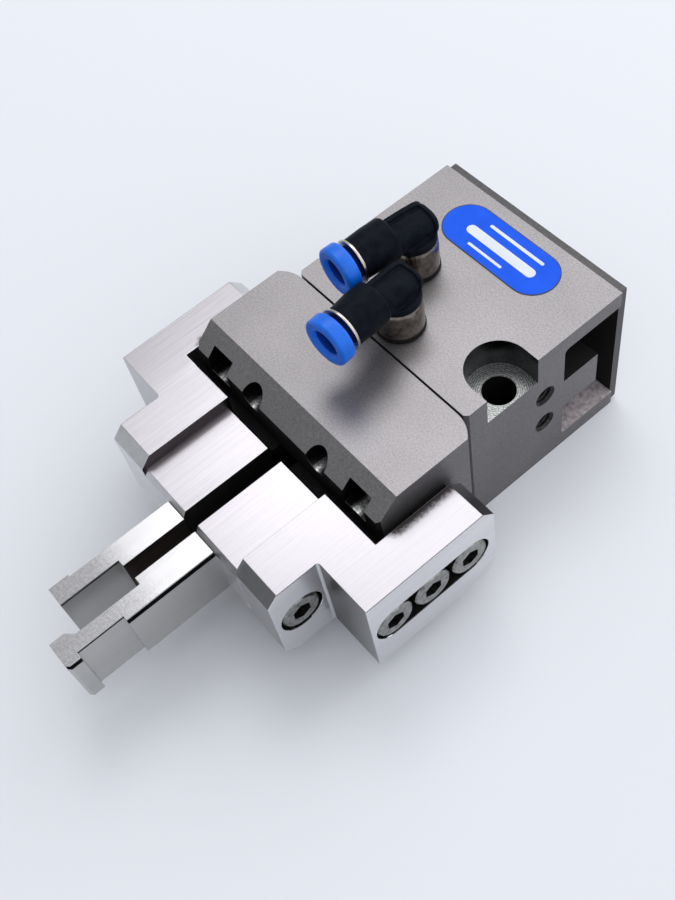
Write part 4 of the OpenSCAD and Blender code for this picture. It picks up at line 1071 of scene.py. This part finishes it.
def lathe(name, outline, place, material):
    """Spins a closed outline of (radius, height) points, in mm, and places it with a matrix."""
    work = bmesh.new()
    rings = []
    for step in range(LATHE_STEPS):
        angle = 2 * math.pi * step / LATHE_STEPS
        cos, sin = math.cos(angle), math.sin(angle)
        rings.append([work.verts.new((radius * MM * cos, radius * MM * sin, height * MM))
                      for radius, height in outline])
    for step, ring in enumerate(rings):
        bridge(work, ring, rings[(step + 1) % LATHE_STEPS])
    bmesh.ops.remove_doubles(work, verts=work.verts, dist=1e-7)
    bmesh.ops.transform(work, matrix=place, verts=work.verts)
    mesh = mesh_of(work, name)
    mesh.materials.append(material)
    piece = new_object(name, mesh)
    smooth_by_angle(piece, 35)
    return piece


def rounded(radius, height, r, start, steps=4):
    """A quarter round of radius r about (radius, height), from the start angle in degrees."""
    return [(radius + r * math.cos(math.radians(start + 90 * step / steps)),
             height + r * math.sin(math.radians(start + 90 * step / steps))) for step in range(steps + 1)]


# %% Where each fitting stands
TUBE_HEIGHT = 10.0
UPRIGHT = Matrix.Identity(4)
TO_PORT = Matrix.Translation((0, 0, TUBE_HEIGHT * MM)) @ Matrix.Rotation(QUARTER, 4, "X")


def fitting_frame(which):
    """The stem's axis on the top face, turned so that the port looks along -Y."""
    joint = next(j for j in frame["record"]["behaviour"]["joints"] if j["name"] == which + "_collar_press")
    axis = Vector(joint["axis"])
    low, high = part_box("fitting_stem_" + which)
    middle = (Vector(low) + Vector(high)) / 2
    turn = math.atan2(-axis.x, axis.y)
    return Matrix.Translation((middle.x, middle.y, rear_high.z * MM)) @ Matrix.Rotation(turn, 4, "Z")


fittings = {which: fitting_frame(which) for which in ("front", "rear")}
for which, place in fittings.items():
    print(which, "fitting at", [round(c / MM, 2) for c in place.translation])

# %% Stems, seals, collars and clamp rings
STEM = [(0.8, -4.6), (2.4, -4.6), (2.5, -4.4), (2.5, 0.9), (3.75, 0.9), (3.9, 1.05), (3.9, 5.6),
        (3.75, 6.05), (3.55, 6.4), (2.2, 6.4), (2.2, 8.6), (0.8, 8.6)]
SEAL = [(2.5, 0.0), (3.85, 0.0), *rounded(3.75, 0.25, 0.25, -90), *rounded(3.75, 0.65, 0.25, 0), (2.5, 0.9)]
COLLAR = [(2.05, 10.5), (2.65, 10.5), (2.65, 12.25), (3.1, 12.35), *rounded(3.7, 12.7, 0.4, -90),
          *rounded(3.6, 14.3, 0.5, 0), (2.75, 14.8), (2.45, 14.6), (2.2, 14.2), (2.05, 13.6)]
CLAMP = [(2.8, 9.75), (2.98, 9.75), (2.98, 11.0), (3.6, 11.0), *rounded(3.6, 11.15, 0.12, -90, 2),
         *rounded(3.6, 11.35, 0.12, 0, 2), (2.8, 11.5)]
NECK_END = 12.3
NECK_R = 2.4
BORE_R = 2.3
TURNED_PIECES = (
    ("fitting_stem_", STEM, UPRIGHT, NICKEL), ("stem_seal_", SEAL, UPRIGHT, RUBBER),
    ("release_collar_", COLLAR, TO_PORT, BLUE_PLASTIC), ("clamp_ring_", CLAMP, TO_PORT, BRIGHT_RING))


def off_port_axis(middle):
    return math.hypot(middle.x, middle.z - TUBE_HEIGHT)


def neck_of_collar(middle, normal):
    return -middle.y < NECK_END and off_port_axis(middle) > NECK_R


def bore_of_collar(middle, normal):
    return off_port_axis(middle) < BORE_R


for which, place in fittings.items():
    for part, outline, spot, finish in TURNED_PIECES:
        piece = lathe(part + which + "_finished", outline, spot, finish)
        if outline is COLLAR:
            # Painted shade on the collar's neck and in its bore.
            paint(piece, (BLUE_SHADE, neck_of_collar), (BLUE_BORE_PAINTED_SHADE, bore_of_collar))
        piece.data.transform(place)
        stand_for(piece, part + which)
        print(part + which, "faces:", len(piece.data.polygons))

# %% [markdown]
# ## Elbow bodies
# An elbow is one moulding: a barrel, a crowned head with a thin rim along one side and a
# rounded back, and a round foot. Simple solids are joined and hollowed with Boolean
# modifiers. A voxel Remesh and a little smoothing then melt their joints together, as in a
# mould with rounded corners.

# %% Solids for the elbow


def slab(name, sections):
    """Joins rounded rectangles. Each is (y, half width, low, high, corner), in mm."""
    work = bmesh.new()
    loops = []
    for y, half, low, high, corner in sections:
        side = half - corner
        outline = (*rounded(side, high - corner, corner, 0), *rounded(-side, high - corner, corner, 90),
                   *rounded(-side, low + corner, corner, 180), *rounded(side, low + corner, corner, 270))
        loops.append([work.verts.new((x * MM, y * MM, z * MM)) for x, z in outline])
    for first, second in zip(loops, loops[1:]):
        bridge(work, first, second)
    work.faces.new(loops[0])
    work.faces.new(loops[-1])
    return new_object(name, mesh_of(work, name))


def joined_with(piece, others, operation):
    for other in others:
        modifier = piece.modifiers.new("join", "BOOLEAN")
        modifier.operation = operation
        modifier.solver = "EXACT"
        modifier.object = other
    bake_modifiers(piece)
    for other in others:
        bpy.data.objects.remove(other)


# %% The elbow's outlines
HEAD = [(-5.2, 2.5, 6.5, 11.12, 1.7), (0.0, 2.5, 6.5, 10.9, 1.7), (2.9, 2.3, 6.5, 10.55, 1.7)]
BACK_RIM = [(2.6, 2.6, 6.6, 10.95, 1.75), (3.15, 2.55, 6.6, 10.86, 1.75), (3.45, 2.35, 6.8, 10.6, 1.7),
            (3.55, 2.0, 7.1, 10.25, 1.5)]
RIM_MIDDLE = -1.95
RIM = [(-5.2, 0.5, 7.6, 11.5, 0.22), (0.0, 0.5, 7.2, 11.3, 0.22), (2.0, 0.5, 7.2, 11.12, 0.22),
       (2.8, 0.5, 7.2, 10.9, 0.22), (3.25, 0.45, 7.3, 10.55, 0.22), (3.5, 0.35, 7.6, 9.9, 0.22)]
BARREL = [(0, 4.4), (3.3, 4.4), (3.52, 4.55), (3.6, 4.85), (3.62, 7.6), (3.45, 10.5), (3.36, 11.0),
          (0, 11.0)]
FOOT = [(0, 6.4), (3.8, 6.4), (3.85, 6.6), (3.85, 7.35), (3.7, 7.6), (0, 7.6)]
MOUTH = [(0, 0.0), (0.45, 0.0), (0.45, 4.0), (0.8, 4.4), (0.8, 5.0), (2.05, 5.0), (2.05, 6.9),
         (3.0, 6.9), (3.0, 12.0), (0, 12.0)]
JOURNAL = [(0, 5.0), (2.24, 5.0), (2.24, 8.8), (0.8, 8.8), (0.8, 10.0), (0, 10.0)]
print("elbow from mouth to back in mm:", BARREL[-1][1] + BACK_RIM[-1][0])

# %% The elbow moulding
ELBOW_VOXEL = 0.11


def elbow_moulding():
    body = slab("elbow", HEAD)
    rim = slab("rim", RIM)
    rim.data.transform(Matrix.Translation((RIM_MIDDLE * MM, 0, 0)))
    joined_with(body, [rim, slab("back rim", BACK_RIM), lathe("barrel", BARREL, TO_PORT, BLACK_PLASTIC),
                       lathe("foot", FOOT, UPRIGHT, BLACK_PLASTIC)], "UNION")
    joined_with(body, [lathe("mouth", MOUTH, TO_PORT, BLACK_PLASTIC),
                       lathe("journal", JOURNAL, UPRIGHT, BLACK_PLASTIC)], "DIFFERENCE")
    remesh = body.modifiers.new("melt", "REMESH")
    remesh.mode = "VOXEL"
    remesh.voxel_size = ELBOW_VOXEL * MM
    smooth = body.modifiers.new("settle", "SMOOTH")
    smooth.factor = 0.5
    smooth.iterations = 3
    bake_modifiers(body)
    return body


moulding = elbow_moulding()
for which, place in fittings.items():
    mesh = moulding.data.copy()
    mesh.transform(place)
    mesh.materials.clear()
    mesh.materials.append(BLACK_PLASTIC)
    piece = new_object("elbow_" + which + "_finished", mesh)
    smooth_by_angle(piece, 60)
    stand_for(piece, "elbow_" + which)
print("elbow faces:", len(moulding.data.polygons))
bpy.data.objects.remove(moulding)

# %% [markdown]
# ## Threads in the side holes
# The two holes in the right-hand side are threaded. Each gets a sleeve of V-shaped ridges,
# made with the same lathe: one ridge repeats down the hole. A true helix would look no
# different at this size.

# %% Thread sleeves
THREAD_PITCH = 0.7
THREAD_DEPTH = 0.42
THREAD_GAP = 0.06
THREAD_START = 0.15


def thread_outline(radius, length):
    ridges = []
    for turn in range(int(length / THREAD_PITCH)):
        top = -turn * THREAD_PITCH - THREAD_START
        ridges += [(radius - THREAD_GAP, top), (radius - THREAD_DEPTH, top - THREAD_PITCH / 2)]
    return [(radius - 0.02, -0.1), *ridges, (radius - 0.02, -length + 0.05)]


for mount_name in ("side_hole_upper", "side_hole_lower"):
    hole = mount_of(mount_name)
    y, z = hole["pos_m"][1:]
    place = Matrix.Translation((rear_high.x * MM, y, z)) @ Matrix.Rotation(QUARTER, 4, "Y")
    outline = thread_outline(hole["dims"]["r_mm"], hole["dims"]["length_mm"])
    piece = lathe(mount_name + "_thread", outline, place, THREAD_PAINTED_SHADE)
    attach(piece, "housing")
    print(piece.name, "faces:", len(piece.data.polygons))

# %% [markdown]
# ## The label
# A pill-shaped film with a thin dark outline carries plain white bars where a maker's words
# would be. The outline, the blue field and the bars are thin plates in one mesh. Each has a
# material of its own and stands a hair higher than the one below.

# %% Label
LABEL_RIM = 0.17
BARS = ((0.4, -0.3, 15.0, 1.8), (1.4, 2.3, 12.0, 0.6), (-0.8, -2.7, 7.6, 0.5))
OUTLINE_LEVELS = (0.0, 0.06)
FIELD_LEVELS = (0.03, 0.09)
BAR_LEVELS = (0.08, 0.11)
# The share of its width that a bar fills.
BAR_SHARE = 0.999


def pill(centre, half_length, radius, steps=24):
    """The outline of a pill, as one closed loop of points in mm."""
    points = []
    for side in (1, -1):
        for step in range(steps + 1):
            angle = math.radians(-90 * side + 180 * step / steps)
            points.append((centre.x + side * (half_length - radius) + radius * math.cos(angle),
                           centre.y + radius * math.sin(angle)))
    return points


def add_plate(work, points, low, high, material_index):
    lower, upper = ([work.verts.new((x * MM, y * MM, z * MM)) for x, y in points] for z in (low, high))
    faces = [work.faces.new(upper), work.faces.new(lower[::-1])]
    for point in range(len(points)):
        after = (point + 1) % len(points)
        faces.append(work.faces.new((lower[point], lower[after], upper[after], upper[point])))
    for face in faces:
        face.material_index = material_index


def make_label():
    low, high = box_mm("label")
    centre = (low + high) / 2
    half, radius = (high.x - low.x) / 2, (high.y - low.y) / 2
    bars = [(pill(centre + Vector((x, y, 0)), length / 2, width / 2 * BAR_SHARE, 8), BAR_LEVELS, 2)
            for x, y, length, width in BARS]
    work = bmesh.new()
    for points, (bottom, top), material_index in (
            (pill(centre, half, radius), OUTLINE_LEVELS, 1),
            (pill(centre, half - LABEL_RIM, radius - LABEL_RIM), FIELD_LEVELS, 0), *bars):
        add_plate(work, points, low.z + bottom, low.z + top, material_index)
    mesh = bpy.data.meshes.new("label_film")
    work.to_mesh(mesh)
    work.free()
    for material in (LABEL_BLUE, LABEL_LINE, LABEL_WHITE):
        mesh.materials.append(material)
    piece = new_object("label_film", mesh)
    stand_for(piece, "label")
    return piece


print("label faces:", len(make_label().data.polygons))
